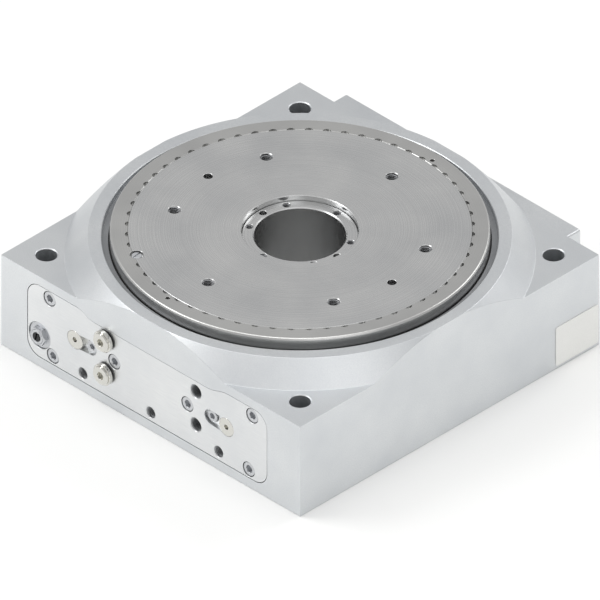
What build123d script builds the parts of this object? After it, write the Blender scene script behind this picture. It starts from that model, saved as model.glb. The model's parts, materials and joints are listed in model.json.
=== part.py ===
from build123d import *
import math
import os

# Pneumatic rotary indexing table, in millimetres. +Z is up and the origin is on the table's axis
# at the housing's bottom face. The connection panel faces -Y. The sizes start at the hollow middle
# and go outwards and upwards, so that each piece takes its place from the one that it fits.

# Fits
running_gap = 0.05
fixed_gap = 0.05
free_gap = 0.4

# Screws: shank radius, head radius, head height, hex socket across flats
m5 = (2.5, 4.25, 5.0, 4.0)
m6 = (3.0, 5.0, 6.0, 5.0)
socket_share = 0.55
sink_gap = 0.4
screw_recess = 0.5
countersink_r = 4.7
countersink_t = 2.4

# Base plate and hollow shaft
base_plate_t = 6.0
base_screw_count = 8
base_screw_deg = 22.5
base_screw_length = 16.0
shaft_bore_r = 29.5
shaft_wall = 5.45
shaft_outer_r = shaft_bore_r + shaft_wall
shaft_foot_width = 17.05
shaft_foot_r = shaft_outer_r + shaft_foot_width
shaft_foot_t = 5.0
shaft_foot_z = base_plate_t + shaft_foot_t
shaft_screw_circle_r = (shaft_outer_r + shaft_foot_r) / 2
shaft_screw_count = 6
shaft_screw_length = 10.0
shaft_flange_t = 12.0
shaft_flange_gap = 0.3
shaft_seal_t = 4.0
flange_hole_inset = 4.0
flange_hole_circle_r = shaft_bore_r + flange_hole_inset
flange_thread_count = 6
flange_thread_r = 2.1
flange_thread_depth = 10.0
flange_dowel_r = 2.5
flange_dowel_depth = 8.0
table_bore_gap = 2.55
table_bore_r = shaft_outer_r + table_bore_gap
flange_r = table_bore_r - shaft_flange_gap

# Bush, thrust washer and coupling pin
bush_wall = 2.5
bush_inner_r = shaft_outer_r + running_gap
bush_outer_r = bush_inner_r + bush_wall
thrust_washer_t = 1.0
thrust_washer_inset = 2.0
thrust_washer_r = shaft_foot_r - thrust_washer_inset
thrust_play = 0.1
pin_deg = 90.0
pin_r = 5.0
pin_head_r = 7.0
pin_head_t = 5.0
pin_travel = 5.0
pin_wall = 2.0
pin_sink = 0.1
pin_circle_r = bush_outer_r + pin_wall + pin_head_r

# Drive gear, module in millimetres
hub_wall = 2.5
drive_hub_r = pin_circle_r + pin_head_r + hub_wall
gear_module = 2.5
gear_rim = 4.0
gear_teeth = 2 * math.ceil(round((drive_hub_r + gear_rim) / gear_module, 3))
gear_face = 14.0
gear_backlash = 0.3
gear_root_share = 1.25
pressure_deg = 20.0
swing_deg = 30.0
gear_pitch_r = gear_module * gear_teeth / 2
gear_tip_r = gear_pitch_r + gear_module
gear_root_r = gear_pitch_r - gear_root_share * gear_module
tooth_pitch = math.pi * gear_module
rack_travel = gear_pitch_r * math.radians(swing_deg)

# Stop arm, drawn where it meets the shock absorber
arm_t = 7.5
arm_width = 20.0
arm_overrun = 2.0
arm_screw_degs = (0.0, 60.0, 240.0, 300.0)
arm_screw_length = 16.0
arm_low_z = shaft_foot_z + thrust_washer_t + thrust_play
arm_high_z = arm_low_z + arm_t

# Cylinders and racks
cylinder_bore_r = 13.0
liner_wall = 3.0
liner_outer_r = cylinder_bore_r + liner_wall
liner_floor_gap = 1.1
liner_roof_gap = 0.8
liner_window_inset = 8.0
liner_window_gap = 3.0
rack_waist_gap = 0.5
rack_waist_r = cylinder_bore_r - rack_waist_gap
rack_pitch_inset = 4.1
rack_head_length = 22.0
rack_half_spaces = 5
rack_end_tooth = 3.0
rack_end_gap = 3.0
seal_width = 3.2
seal_depth = 2.2
seal_from_end = 6.0
cylinder_x = gear_pitch_r + rack_waist_r - rack_pitch_inset
cylinder_z = arm_high_z + liner_floor_gap + liner_outer_r
gear_low_z = cylinder_z - gear_face / 2
liner_window_x = cylinder_x - liner_window_inset
liner_window_half = math.sqrt(gear_tip_r ** 2 - (cylinder_x - liner_outer_r) ** 2) + liner_window_gap

# Shock absorber and the lug that meets it
absorber_r = 5.0
absorber_spacing = 10.9
absorber_x = -(cylinder_x + liner_outer_r + absorber_spacing + absorber_r)
absorber_rise = 4.6
absorber_z = arm_high_z + absorber_rise
absorber_front = 2.6
absorber_bore_run = 20.0
absorber_seat_r = 9.8
absorber_seat_depth = 2.0
absorber_washer_r = 9.4
absorber_washer_t = 1.0
absorber_nut_flats = 12.0
absorber_nut_t = 3.3
absorber_nut_chamfer = 0.8
absorber_rod_r = 2.5
absorber_rod_head_r = 4.0
absorber_rod_head_t = 4.0
absorber_rod_in = 30.0
absorber_rod_out = 22.7
absorber_rod_gap = 0.3
absorber_travel = 12.0
adjuster_r = 3.3
adjuster_proud = 0.6
adjuster_length = 6.0
adjuster_end_gap = 0.3
adjuster_slot = 1.2
adjuster_slot_depth = 1.5
adjuster_slot_deg = 12.0
pad_r = 4.0
pad_proud = 2.0
pad_length = 10.0
lug_outer_wall = 1.2
lug_inner_wall = 2.8
lug_top_wall = 2.8
lug_face_y = -22.0
lug_length = 14.0
lug_outer_x = absorber_x - pad_r - lug_outer_wall
lug_inner_x = absorber_x + pad_r + lug_inner_wall
lug_top_z = absorber_z + pad_r + lug_top_wall
absorber_tip_y = lug_face_y - pad_proud - absorber_rod_gap
absorber_inner_y = absorber_tip_y - absorber_rod_out

# Cavity, index disc and table
cavity_gap = 4.5
cavity_r = cavity_gap - lug_outer_x
station_count = 12
index_disc_t = 6.5
index_disc_low_z = cylinder_z + liner_outer_r + liner_roof_gap
index_disc_inset = 6.0
index_notch_depth = 8.5
index_play = 0.3
index_pocket_r = pin_r + index_play
index_screw_inset = 6.0
index_screw_count = 6
index_screw_length = 13.0
drive_top_gap = 0.5
drive_hub_top_z = index_disc_low_z - drive_top_gap
table_r = cavity_r
table_bottom_z = index_disc_low_z + index_disc_t
index_disc_r = table_r - index_disc_inset
index_screw_circle_r = index_disc_r - index_screw_inset
table_bore_chamfer = 0.5
table_hub_wall = 10.5
table_hub_r = pin_circle_r + table_hub_wall
table_rim_width = 16.0
table_rim_inner_r = table_r - table_rim_width
table_web_t = 18.0
table_relief = 2.0
table_shoulder_width = 4.0
table_shoulder_r = table_r + table_shoulder_width
table_shoulder_t = 3.0
table_thread_inset = 27.0
table_thread_circle_r = table_r - table_thread_inset
table_thread_r = 3.4
table_thread_depth = 15.0
table_thread_count = 6
table_dowel_r = 3.0
table_dowel_depth = 12.0

# Crossed-roller bearing
bearing_rise = 6.5
bearing_t = 13.0
bearing_width = 16.7
bearing_bottom_z = table_bottom_z + bearing_rise
bearing_middle_z = bearing_bottom_z + bearing_t / 2
bearing_top_z = bearing_bottom_z + bearing_t
bearing_outer_r = table_r + bearing_width
bearing_ledge_gap = 2.0
bearing_ledge_r = table_shoulder_r + bearing_ledge_gap
bearing_ledge_play = 1.0
bearing_ledge_z = bearing_bottom_z - table_shoulder_t - bearing_ledge_play
bearing_seal_t = 0.7
roller_circle_r = table_r + bearing_width / 2
roller_d = 6.5
roller_length = 6.4
roller_tilt_deg = 45.0
roller_count = 36
roller_gap = 0.15
spacer_side = 5.6
spacer_end_gap = 0.3
ring_split_gap = 0.75
retainer_t = 1.8
retainer_overhang = 4.1
retainer_inner_r = bearing_outer_r - retainer_overhang
retainer_groove_depth = 2.0
retainer_opening_deg = 8.0

# Preload ring and its slotted lock screw
preload_ring_t = 10.5
table_top_z = bearing_top_z + preload_ring_t
preload_ring_gap = 1.0
preload_ring_r = retainer_inner_r - preload_ring_gap
preload_step_z = bearing_top_z + bearing_seal_t + free_gap
preload_step_inset = 0.95
preload_step_r = roller_circle_r - preload_step_inset
preload_bevel_radial = 1.6
preload_bevel_axial = 1.2
notch_count = 60
notch_cutter_r = 2.9
notch_reach = 2.0
notch_depth = 2.0
spanner_hole_inset = 3.7
spanner_hole_circle_r = table_r + spanner_hole_inset
spanner_hole_r = 1.5
spanner_hole_depth = 5.0
spanner_hole_deg = 87.0
lock_screw_inset = 2.0
lock_screw_circle_r = table_r - lock_screw_inset
lock_screw_deg = 240.0
lock_screw_sink_r = 4.4
lock_screw_sink_depth = 3.4
lock_screw_head_r = 3.3
lock_screw_head_t = 2.8
lock_screw_shank_r = 2.0
lock_screw_end_gap = 0.5
lock_screw_length = preload_ring_t - lock_screw_end_gap
lock_screw_slot = 1.1
lock_screw_slot_depth = 1.2
lock_screw_slot_deg = 96.0
shaft_flange_drop = 4.0
shaft_flange_z = table_top_z - shaft_flange_drop

# Housing
body_wall = 8.3
body_drop = 5.0
body_edge_r = 1.5
cone_rim = 8.8
cone_drop = 15.0
mount_hole_inset = 20.5
mount_hole_r = 7.0
half_side = bearing_outer_r + body_wall
body_top_z = table_top_z - body_drop
body_corner_z = body_top_z - cone_drop
cone_top_r = bearing_outer_r + cone_rim
base_plate_seat = 10.0
base_plate_r = cavity_r + base_plate_seat
base_screw_circle_r = cavity_r + base_plate_seat / 2
front_y = -half_side
rear_y = half_side

# Front panel
panel_seat_wall = 0.9
panel_right_inset = 30.0
panel_bottom_z = 7.5
panel_top_inset = 7.0
panel_dip = 4.2
panel_step_left = (-67.0, -51.0)
panel_step_right = (50.0, 71.0)
panel_corner_r = 11.0
panel_t = 12.0
panel_gasket_t = 0.5
panel_screw_length = 20.0
panel_thread_r = 3.4
panel_thread_depth = 10.0
panel_thread_inset = 7.1
panel_thread_rise = 6.5
panel_high_screw_in = 8.8
panel_high_screw_drop = 6.0
panel_low_screw_in = 11.8
panel_low_screw_rise = 6.3
panel_mid_screw_in = 7.6
panel_mid_screw_rise = 0.3
port_inset = 27.8
port_rise = 13.9
port_fall = 12.0
port_r = 4.865
port_depth = 9.5
port_drill_r = 2.5
port_mouth_chamfer = 0.6
panel_left_x = absorber_x - absorber_seat_r - panel_seat_wall
panel_right_x = half_side - panel_right_inset
panel_top_z = body_corner_z - panel_top_inset
panel_middle_z = panel_top_z - panel_dip
panel_thread_x = cylinder_x - panel_thread_inset
panel_thread_z = panel_bottom_z + panel_thread_rise
panel_back_y = front_y + panel_t
recess_y = panel_back_y + panel_gasket_t
port_x = cylinder_x - port_inset
port_high_z = cylinder_z + port_rise
port_low_z = cylinder_z - port_fall
panel_screw_spots = (
    (-absorber_x - panel_high_screw_in, panel_top_z - panel_high_screw_drop),
    (-absorber_x - panel_low_screw_in, panel_bottom_z + panel_low_screw_rise),
    (port_x - panel_mid_screw_in, cylinder_z + panel_mid_screw_rise),
)
cylinder_middle_y = (recess_y + rear_y) / 2
rack_length = rear_y - recess_y - rack_travel - 2 * rack_end_gap
absorber_outer_y = front_y - absorber_front
absorber_seat_y = front_y + absorber_seat_depth

# Port plugs
plug_collar_r = 7.7
plug_collar_chamfer = 0.5
plug_neck_r = 6.6
plug_neck_chamfer = 0.4
plug_collar_t = 2.6
plug_neck_t = 1.2
plug_shank = 7.5
plug_hex = 5.0
plug_hex_depth = 4.0
plug_seal_t = 1.2
plug_seal_r = 7.3

# Flow-control screws
flow_screw_r = 6.75
flow_screw_length = 12.0
flow_needle_taper = 2.0
flow_hex = 3.5
flow_hex_depth = 3.0
flow_slot_r = 5.5
flow_slot_depth = 3.0
flow_lock_inset = 14.2
flow_lock_rise = 0.8
flow_lock_length = 5.0
flow_lock_x = cylinder_x - flow_lock_inset
flow_lock_z = cylinder_z + flow_lock_rise

# Rear plate
rear_side_inset = 29.0
rear_bottom_z = 9.0
rear_top_inset = 1.0
rear_t = 12.0
rear_gasket_t = 0.5
rear_corner_r = 1.5
rear_screw_length = 24.0
rear_screw_side = 14.0
rear_screw_edge = 11.0
rear_screw_middle_x = 36.0
rear_half_width = half_side - rear_side_inset
rear_top_z = body_corner_z - rear_top_inset
rear_face_y = rear_y + rear_gasket_t + rear_t
rear_screw_spots = (
    (rear_half_width - rear_screw_side, rear_top_z - rear_screw_edge),
    (rear_half_width - rear_screw_side, rear_bottom_z + rear_screw_edge),
    (rear_screw_middle_x, rear_bottom_z + rear_screw_edge),
)

# Lock bolt
bolt_rise = 1.0
bolt_z = index_disc_low_z + bolt_rise
bolt_r = 5.0
bolt_tip_r = 3.2
bolt_tip_length = 3.0
bolt_rest_gap = 1.0
bolt_travel = 8.0
bolt_head_r = 9.4
bolt_head_t = 5.5
bolt_chamber_wall = 9.0
bolt_bush_wall = 1.15
bolt_seal_width = 2.0
bolt_seal_depth = 1.6
bolt_chamber_y = cavity_r + bolt_chamber_wall
bolt_rest_y = index_disc_r + bolt_rest_gap
bolt_head_y = bolt_chamber_y + free_gap + bolt_travel
index_notch_half = bolt_r + index_play

# Label plate
label_width = 38.3
label_height = 29.8
label_edge = 1.0
label_low_z = 2.3
label_t = 0.6
label_high_y = half_side - label_edge


def bar_z(radius, low, high, x=0.0, y=0.0):
    """Round bar along Z."""
    return Pos(x, y, (low + high) / 2) * Cylinder(radius, high - low)


def bar_y(radius, low, high, x=0.0, z=0.0):
    """Round bar along Y."""
    return Pos(x, (low + high) / 2, z) * Rot(90, 0, 0) * Cylinder(radius, high - low)


def box_between(low, high):
    """Box between two opposite corners."""
    size = [b - a for a, b in zip(low, high)]
    middle = [(a + b) / 2 for a, b in zip(low, high)]
    return Pos(*middle) * Box(*size)


def ring_z(outer, inner, low, high):
    """Flat ring about the table's axis."""
    return bar_z(outer, low, high) - bar_z(inner, low - 1, high + 1)


def turned(points, degrees=360.0):
    """Solid turned about Z from (radius, height) points."""
    outline = Polyline(*[(r, 0, z) for r, z in points], close=True)
    return revolve(make_face(outline), Axis.Z, degrees)


def circle_spots(radius, count, first_deg=0.0):
    """Evenly spaced (x, y) spots on a circle about the table's axis."""
    angles = [math.radians(first_deg + 360.0 * k / count) for k in range(count)]
    return [(radius * math.cos(a), radius * math.sin(a)) for a in angles]


def both_sides(spots):
    """The (x, z) spots and their mirror images."""
    return [(side * x, z) for x, z in spots for side in (1, -1)]


def cut_all(body, tools):
    """Body with every tool taken away."""
    for tool in tools:
        body = body - tool
    return body


def hex_bar(flats, low, high):
    """Hexagonal bar along Z."""
    return Pos(0, 0, low) * extrude(RegularPolygon(flats / 2 / math.cos(math.pi / 6), 6), high - low)


def cap_screw(size, length):
    """Socket screw along Z with the top of its head at the origin, pointing down."""
    shank_r, head_r, head_t, flats = size
    head = bar_z(head_r, -head_t, 0)
    shank = bar_z(shank_r, -head_t - length, -head_t)
    return head + shank - hex_bar(flats, -head_t * socket_share, 1)


def flat_screw(shank_r, length):
    """Countersunk screw along Z with its flat top at the origin, pointing down."""
    top = turned([(0, 0), (countersink_r, 0), (shank_r, -countersink_t), (0, -countersink_t)])
    return top + bar_z(shank_r, -length, -countersink_t)


def sink(size, length):
    """Counterbore and hole for a socket screw, from its head's top."""
    shank_r, head_r, head_t, _ = size
    return bar_z(head_r + sink_gap, -head_t, length) + bar_z(shank_r + fixed_gap, -head_t - length, 1)


def flat_sink(shank_r, length):
    """Countersink and hole for a countersunk screw."""
    cone = turned([
        (0, 0),
        (countersink_r + fixed_gap, 0),
        (shank_r + fixed_gap, -countersink_t),
        (0, -countersink_t),
    ])
    return cone + bar_z(shank_r + fixed_gap, -length, -1)


def facing_front(x, z, y=front_y):
    """Turns a piece drawn along +Z to face -Y at a spot on the front."""
    return Pos(x, y, z) * Rot(90, 0, 0)


def facing_rear(x, z, y=rear_face_y):
    """Turns a piece drawn along +Z to face +Y at a spot on the rear."""
    return Pos(x, y, z) * Rot(-90, 0, 0)


def facing_down(x, y, z=0.0):
    """Turns a piece drawn along +Z to face -Z."""
    return Pos(x, y, z) * Rot(180, 0, 0)


# Front panel

def panel_face():
    """Outline of the front panel, drawn in X and Z at Y = 0."""
    x0, x1 = panel_left_x, panel_right_x
    s0, s1 = panel_step_left
    s2, s3 = panel_step_right
    low, high, middle = panel_bottom_z, panel_top_z, panel_middle_z
    half = (high + middle) / 2
    left_mid = ((s0 + s1) / 2, half)
    right_mid = ((s2 + s3) / 2, half)
    edges = Curve() + [
        Line((s3, high), (x1, high)),
        Line((x1, high), (x1, low)),
        Line((x1, low), (x0, low)),
        Line((x0, low), (x0, high)),
        Line((x0, high), (s0, high)),
        TangentArc((s0, high), left_mid, tangent=(1, 0)),
        TangentArc((s1, middle), left_mid, tangent=(-1, 0)),
        Line((s1, middle), (s2, middle)),
        TangentArc((s2, middle), right_mid, tangent=(1, 0)),
        TangentArc((s3, high), right_mid, tangent=(-1, 0)),
    ]
    face = make_face(edges)
    corners = [v for v in face.vertices() if abs(v.X - x0) < 0.01 or abs(v.X - x1) < 0.01]
    return fillet(corners, panel_corner_r)


def panel_slab(back_y, front, grow=0.0):
    """The panel's outline as a slab between two planes."""
    face = panel_face()
    if grow:
        face = offset(face, grow)
    return Pos(0, back_y, 0) * Rot(90, 0, 0) * extrude(face, back_y - front)


def panel_screw_places():
    """Where the heads of the panel screws lie, just below the panel's face."""
    return [facing_front(x, z, front_y + screw_recess) for x, z in both_sides(panel_screw_spots)]


def flow_slot(side):
    """Oblong recess beside a flow-control screw."""
    ends = ((side * cylinder_x, cylinder_z), (side * flow_lock_x, flow_lock_z))
    run = math.hypot(ends[1][0] - ends[0][0], ends[1][1] - ends[0][1])
    turn = math.degrees(math.atan2(ends[1][1] - ends[0][1], ends[1][0] - ends[0][0]))
    middle = ((ends[0][0] + ends[1][0]) / 2, (ends[0][1] + ends[1][1]) / 2)
    shape = Pos(*middle) * Rot(0, 0, turn) * SlotCenterToCenter(run, 2 * flow_slot_r)
    return Pos(0, front_y + flow_slot_depth, 0) * Rot(90, 0, 0) * extrude(shape, flow_slot_depth + 1)


def flow_lock_place(side):
    """Where a flow-control lock screw's head top lies."""
    return facing_front(side * flow_lock_x, flow_lock_z, front_y + flow_slot_depth / 2)


def front_panel():
    """Connection panel with its ports, screw holes and tapped holes."""
    panel = panel_slab(panel_back_y, front_y)
    tools = [place * sink(m6, panel_screw_length) for place in panel_screw_places()]
    for x in (-panel_thread_x, 0.0, panel_thread_x):
        tools.append(bar_y(panel_thread_r, front_y - 1, front_y + panel_thread_depth, x, panel_thread_z))
    for x, z in both_sides([(port_x, port_high_z), (port_x, port_low_z)]):
        tools.append(bar_y(port_r, front_y - 1, front_y + port_depth, x, z))
        tools.append(bar_y(port_drill_r, front_y, panel_back_y + 1, x, z))
        mouth = Cone(port_r, port_r + port_mouth_chamfer, port_mouth_chamfer)
        tools.append(facing_front(x, z, front_y + port_mouth_chamfer / 2) * mouth)
    for side in (1, -1):
        tools.append(flow_slot(side))
        tools.append(bar_y(flow_screw_r + running_gap, front_y - 1, panel_back_y + 1,
                           side * cylinder_x, cylinder_z))
        tools.append(flow_lock_place(side) * sink(m5, flow_lock_length))
    tools.append(bar_y(absorber_r + fixed_gap, front_y - 1, panel_back_y + 1, absorber_x, absorber_z))
    tools.append(bar_y(absorber_seat_r, front_y - 1, absorber_seat_y, absorber_x, absorber_z))
    return cut_all(panel, tools)


def front_gasket():
    """Thin gasket behind the front panel."""
    gasket = panel_slab(recess_y, panel_back_y)
    tools = [place * sink(m6, panel_screw_length) for place in panel_screw_places()]
    tools += [bar_y(cylinder_bore_r, panel_back_y - 1, recess_y + 1, side * cylinder_x, cylinder_z)
              for side in (1, -1)]
    tools.append(bar_y(absorber_r + fixed_gap, front_y, recess_y + 1, absorber_x, absorber_z))
    return cut_all(gasket, tools)


def port_plug():
    """Blanking plug with a stepped head and a hex socket, its seat at the origin, facing +Z."""
    collar_z = plug_seal_t
    collar_top = collar_z + plug_collar_t
    head = turned([
        (0, -plug_shank),
        (port_r - fixed_gap, -plug_shank),
        (port_r - fixed_gap, collar_z),
        (plug_collar_r, collar_z),
        (plug_collar_r, collar_top - plug_collar_chamfer),
        (plug_collar_r - plug_collar_chamfer, collar_top),
        (plug_neck_r, collar_top),
        (plug_neck_r - plug_neck_chamfer, collar_top + plug_neck_t),
        (0, collar_top + plug_neck_t),
    ])
    return head - hex_bar(plug_hex, collar_top + plug_neck_t - plug_hex_depth, collar_top + 5)


def port_plugs():
    """The two blanking plugs of the left ports."""
    return [facing_front(-port_x, z) * port_plug() for z in (port_high_z, port_low_z)]


def port_plug_seals():
    """Sealing rings under the plugs."""
    seal = ring_z(plug_seal_r, port_r + fixed_gap, 0, plug_seal_t)
    return [facing_front(-port_x, z) * seal for z in (port_high_z, port_low_z)]


def flow_screw(side):
    """Flow-control screw, flush with the panel, with a hex socket and a needle end."""
    body = turned([
        (0, -flow_screw_length),
        (flow_screw_r - flow_needle_taper, -flow_screw_length),
        (flow_screw_r, flow_needle_taper - flow_screw_length),
        (flow_screw_r, 0),
        (0, 0),
    ])
    return facing_front(side * cylinder_x, cylinder_z) * (body - hex_bar(flow_hex, -flow_hex_depth, 1))


# Housing

def housing():
    """Square block with a cone on top, trimmed by the sides, and all that is bored into it."""
    outline = RectangleRounded(2 * half_side, 2 * half_side, body_edge_r)
    cone = turned([
        (0, body_corner_z),
        (cone_top_r + cone_drop, body_corner_z),
        (cone_top_r, body_top_z),
        (0, body_top_z),
    ])
    body = extrude(outline, body_corner_z) + (extrude(outline, body_top_z) & cone)
    hole_offset = half_side - mount_hole_inset
    groove_top_z = bearing_top_z + retainer_t + fixed_gap
    tools = [
        turned([
            (0, -1),
            (base_plate_r + fixed_gap, -1),
            (base_plate_r + fixed_gap, base_plate_t),
            (cavity_r, base_plate_t),
            (cavity_r, bearing_ledge_z),
            (bearing_ledge_r, bearing_ledge_z),
            (bearing_ledge_r, bearing_bottom_z),
            (bearing_outer_r, bearing_bottom_z),
            (bearing_outer_r, bearing_top_z),
            (bearing_outer_r + retainer_groove_depth, bearing_top_z),
            (bearing_outer_r + retainer_groove_depth, groove_top_z),
            (bearing_outer_r, groove_top_z),
            (bearing_outer_r, body_top_z + 1),
            (0, body_top_z + 1),
        ]),
        panel_slab(recess_y, front_y - 1, fixed_gap),
        bar_y(absorber_r + fixed_gap, front_y, absorber_inner_y + absorber_bore_run, absorber_x, absorber_z),
        bar_y(bolt_r + running_gap + bolt_bush_wall + fixed_gap, cavity_r - 5, rear_y, 0, bolt_z),
        bar_y(bolt_head_r + running_gap, bolt_chamber_y, rear_y + 1, 0, bolt_z),
    ]
    tools += [bar_y(liner_outer_r + fixed_gap, recess_y - 1, rear_y + 1, side * cylinder_x, cylinder_z)
              for side in (1, -1)]
    tools += [bar_z(mount_hole_r, -1, body_top_z, sx * hole_offset, sy * hole_offset)
              for sx in (1, -1) for sy in (1, -1)]
    tools += [place * sink(m6, panel_screw_length) for place in panel_screw_places()]
    tools += [place * sink(m6, rear_screw_length) for place in rear_screw_places()]
    tools += [place * flat_sink(m5[0], base_screw_length) for place in base_screw_places()]
    return cut_all(body, tools)


def label_plate():
    """Thin bare plate on the right side."""
    low = (half_side, label_high_y - label_width, label_low_z)
    return box_between(low, (half_side + label_t, label_high_y, label_low_z + label_height))


# Base and hollow shaft

def base_screw_places():
    """Where the base plate's screws lie, facing down."""
    return [facing_down(x, y) for x, y in circle_spots(base_screw_circle_r, base_screw_count, base_screw_deg)]


def shaft_screw_places():
    """Where the screws of the shaft's foot lie, facing down."""
    return [facing_down(x, y) for x, y in circle_spots(shaft_screw_circle_r, shaft_screw_count)]


def base_plate():
    """Round cover that closes the housing from below and carries the hollow shaft."""
    plate = ring_z(base_plate_r, shaft_outer_r + fixed_gap, 0, base_plate_t)
    tools = [place * flat_sink(m5[0], base_screw_length) for place in base_screw_places()]
    tools += [place * flat_sink(m5[0], shaft_screw_length) for place in shaft_screw_places()]
    return cut_all(plate, tools)


def hollow_shaft():
    """Fixed hollow shaft with a foot on the base plate and a flange inside the table's bore."""
    flange_low_z = shaft_flange_z - shaft_flange_t
    shaft = turned([
        (shaft_bore_r, 0),
        (shaft_outer_r, 0),
        (shaft_outer_r, base_plate_t),
        (shaft_foot_r, base_plate_t),
        (shaft_foot_r, shaft_foot_z),
        (shaft_outer_r, shaft_foot_z),
        (shaft_outer_r, flange_low_z),
        (flange_r, flange_low_z),
        (flange_r, shaft_flange_z),
        (shaft_bore_r, shaft_flange_z),
    ])
    tools = [bar_z(flange_thread_r, shaft_flange_z - flange_thread_depth, shaft_flange_z + 1, x, y)
             for x, y in circle_spots(flange_hole_circle_r, flange_thread_count, 180.0 / flange_thread_count)]
    tools += [bar_z(flange_dowel_r, shaft_flange_z - flange_dowel_depth, shaft_flange_z + 1, x, y)
              for x, y in circle_spots(flange_hole_circle_r, 2)]
    tools += [place * flat_sink(m5[0], shaft_screw_length) for place in shaft_screw_places()]
    return cut_all(shaft, tools)


def shaft_seal():
    """Seal under the shaft's flange, inside the table's bore."""
    top = shaft_flange_z - shaft_flange_t
    return ring_z(flange_r, shaft_outer_r, top - shaft_seal_t, top)


# Bearing

def groove_half():
    """Half the height of the square raceway, from corner to corner."""
    return (roller_d / 2 + roller_gap) * math.sqrt(2)


def inner_ring():
    """Inner bearing ring with its V-shaped raceway."""
    outer = roller_circle_r - ring_split_gap
    reach = groove_half() - ring_split_gap
    return turned([
        (table_r + fixed_gap, bearing_bottom_z),
        (outer, bearing_bottom_z),
        (outer, bearing_middle_z - reach),
        (outer - reach, bearing_middle_z),
        (outer, bearing_middle_z + reach),
        (outer, bearing_top_z),
        (table_r + fixed_gap, bearing_top_z),
    ])


def outer_ring_half(direction):
    """Lower (-1) or upper (1) half of the split outer ring."""
    inner = roller_circle_r + ring_split_gap
    reach = groove_half() - ring_split_gap
    far_z = bearing_middle_z + direction * bearing_t / 2
    return turned([
        (inner + reach, bearing_middle_z),
        (bearing_outer_r - fixed_gap, bearing_middle_z),
        (bearing_outer_r - fixed_gap, far_z),
        (inner, far_z),
        (inner, bearing_middle_z + direction * reach),
    ])


def rollers():
    """Crossed rollers, tilted one way and the other in turn."""
    made = []
    for k in range(roller_count):
        tilt = roller_tilt_deg if k % 2 else -roller_tilt_deg
        spot = Rot(0, 0, 360.0 * k / roller_count) * Pos(roller_circle_r, 0, bearing_middle_z)
        made.append(spot * Rot(0, tilt, 0) * Cylinder(roller_d / 2, roller_length))
    return made


def roller_spacers():
    """Square-section spacers between the rollers."""
    half = spacer_side / math.sqrt(2)
    free = math.degrees((roller_d / 2 + spacer_end_gap) / roller_circle_r)
    step = 360.0 / roller_count
    spacer = turned([
        (roller_circle_r - half, bearing_middle_z),
        (roller_circle_r, bearing_middle_z - half),
        (roller_circle_r + half, bearing_middle_z),
        (roller_circle_r, bearing_middle_z + half),
    ], step - 2 * free)
    return [Rot(0, 0, step * k + free) * spacer for k in range(roller_count)]


def bearing_retainer():
    """Open retaining ring above the outer bearing ring."""
    outer = bearing_outer_r + retainer_groove_depth - fixed_gap
    ring = turned([
        (retainer_inner_r, bearing_top_z),
        (outer, bearing_top_z),
        (outer, bearing_top_z + retainer_t),
        (retainer_inner_r, bearing_top_z + retainer_t),
    ], 360.0 - retainer_opening_deg)
    return Rot(0, 0, 90 + retainer_opening_deg / 2) * ring


def bearing_seal():
    """Flat seal on the outer bearing ring, under the preload ring."""
    inner = roller_circle_r + ring_split_gap + fixed_gap
    return ring_z(retainer_inner_r - fixed_gap, inner, bearing_top_z, bearing_top_z + bearing_seal_t)


# Table

def lock_screw_tool():
    """Sink and hole of the slotted screw that lies on the joint of table and preload ring."""
    x, y = circle_spots(lock_screw_circle_r, 1, lock_screw_deg)[0]
    bottom = table_top_z - lock_screw_sink_depth
    head = bar_z(lock_screw_sink_r, bottom, table_top_z + 1, x, y)
    return head + bar_z(lock_screw_shank_r + fixed_gap, table_top_z - lock_screw_length, bottom + 1, x, y)


def rotary_plate():
    """Round table with a hub and a rim below, tapped holes and dowel holes."""
    web_z = table_top_z - table_web_t
    shoulder_z = bearing_bottom_z - table_shoulder_t
    plate = turned([
        (table_bore_r, table_bottom_z),
        (table_hub_r, table_bottom_z),
        (table_hub_r, web_z),
        (table_rim_inner_r, web_z),
        (table_rim_inner_r, table_bottom_z),
        (table_r - table_relief, table_bottom_z),
        (table_r - table_relief, shoulder_z),
        (table_shoulder_r, shoulder_z),
        (table_shoulder_r, bearing_bottom_z),
        (table_r, bearing_bottom_z),
        (table_r, table_top_z),
        (table_bore_r + table_bore_chamfer, table_top_z),
        (table_bore_r, table_top_z - table_bore_chamfer),
    ])
    tools = [bar_z(table_thread_r, table_top_z - table_thread_depth, table_top_z + 1, x, y)
             for x, y in circle_spots(table_thread_circle_r, table_thread_count, 180.0 / table_thread_count)]
    tools += [bar_z(table_dowel_r, table_top_z - table_dowel_depth, table_top_z + 1, x, y)
              for x, y in circle_spots(table_thread_circle_r, 2)]
    tools += [Pos(x, y, index_disc_low_z) * Rot(180, 0, 0) * flat_sink(m5[0], index_screw_length)
              for x, y in index_screw_spots()]
    tools.append(lock_screw_tool())
    return cut_all(plate, tools)


def preload_ring():
    """Threaded ring that clamps the inner bearing ring, with notches round its inner edge."""
    ring = turned([
        (table_r + fixed_gap, bearing_top_z),
        (preload_step_r, bearing_top_z),
        (preload_step_r, preload_step_z),
        (preload_ring_r, preload_step_z),
        (preload_ring_r, table_top_z - preload_bevel_axial),
        (preload_ring_r - preload_bevel_radial, table_top_z),
        (table_r + fixed_gap, table_top_z),
    ])
    cutter_circle_r = table_r + notch_reach - notch_cutter_r
    tools = [bar_z(notch_cutter_r, table_top_z - notch_depth, table_top_z + 1, x, y)
             for x, y in circle_spots(cutter_circle_r, notch_count)]
    tools += [bar_z(spanner_hole_r, table_top_z - spanner_hole_depth, table_top_z + 1, x, y)
              for x, y in circle_spots(spanner_hole_circle_r, 2, spanner_hole_deg)]
    tools.append(lock_screw_tool())
    return cut_all(ring, tools)


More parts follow.
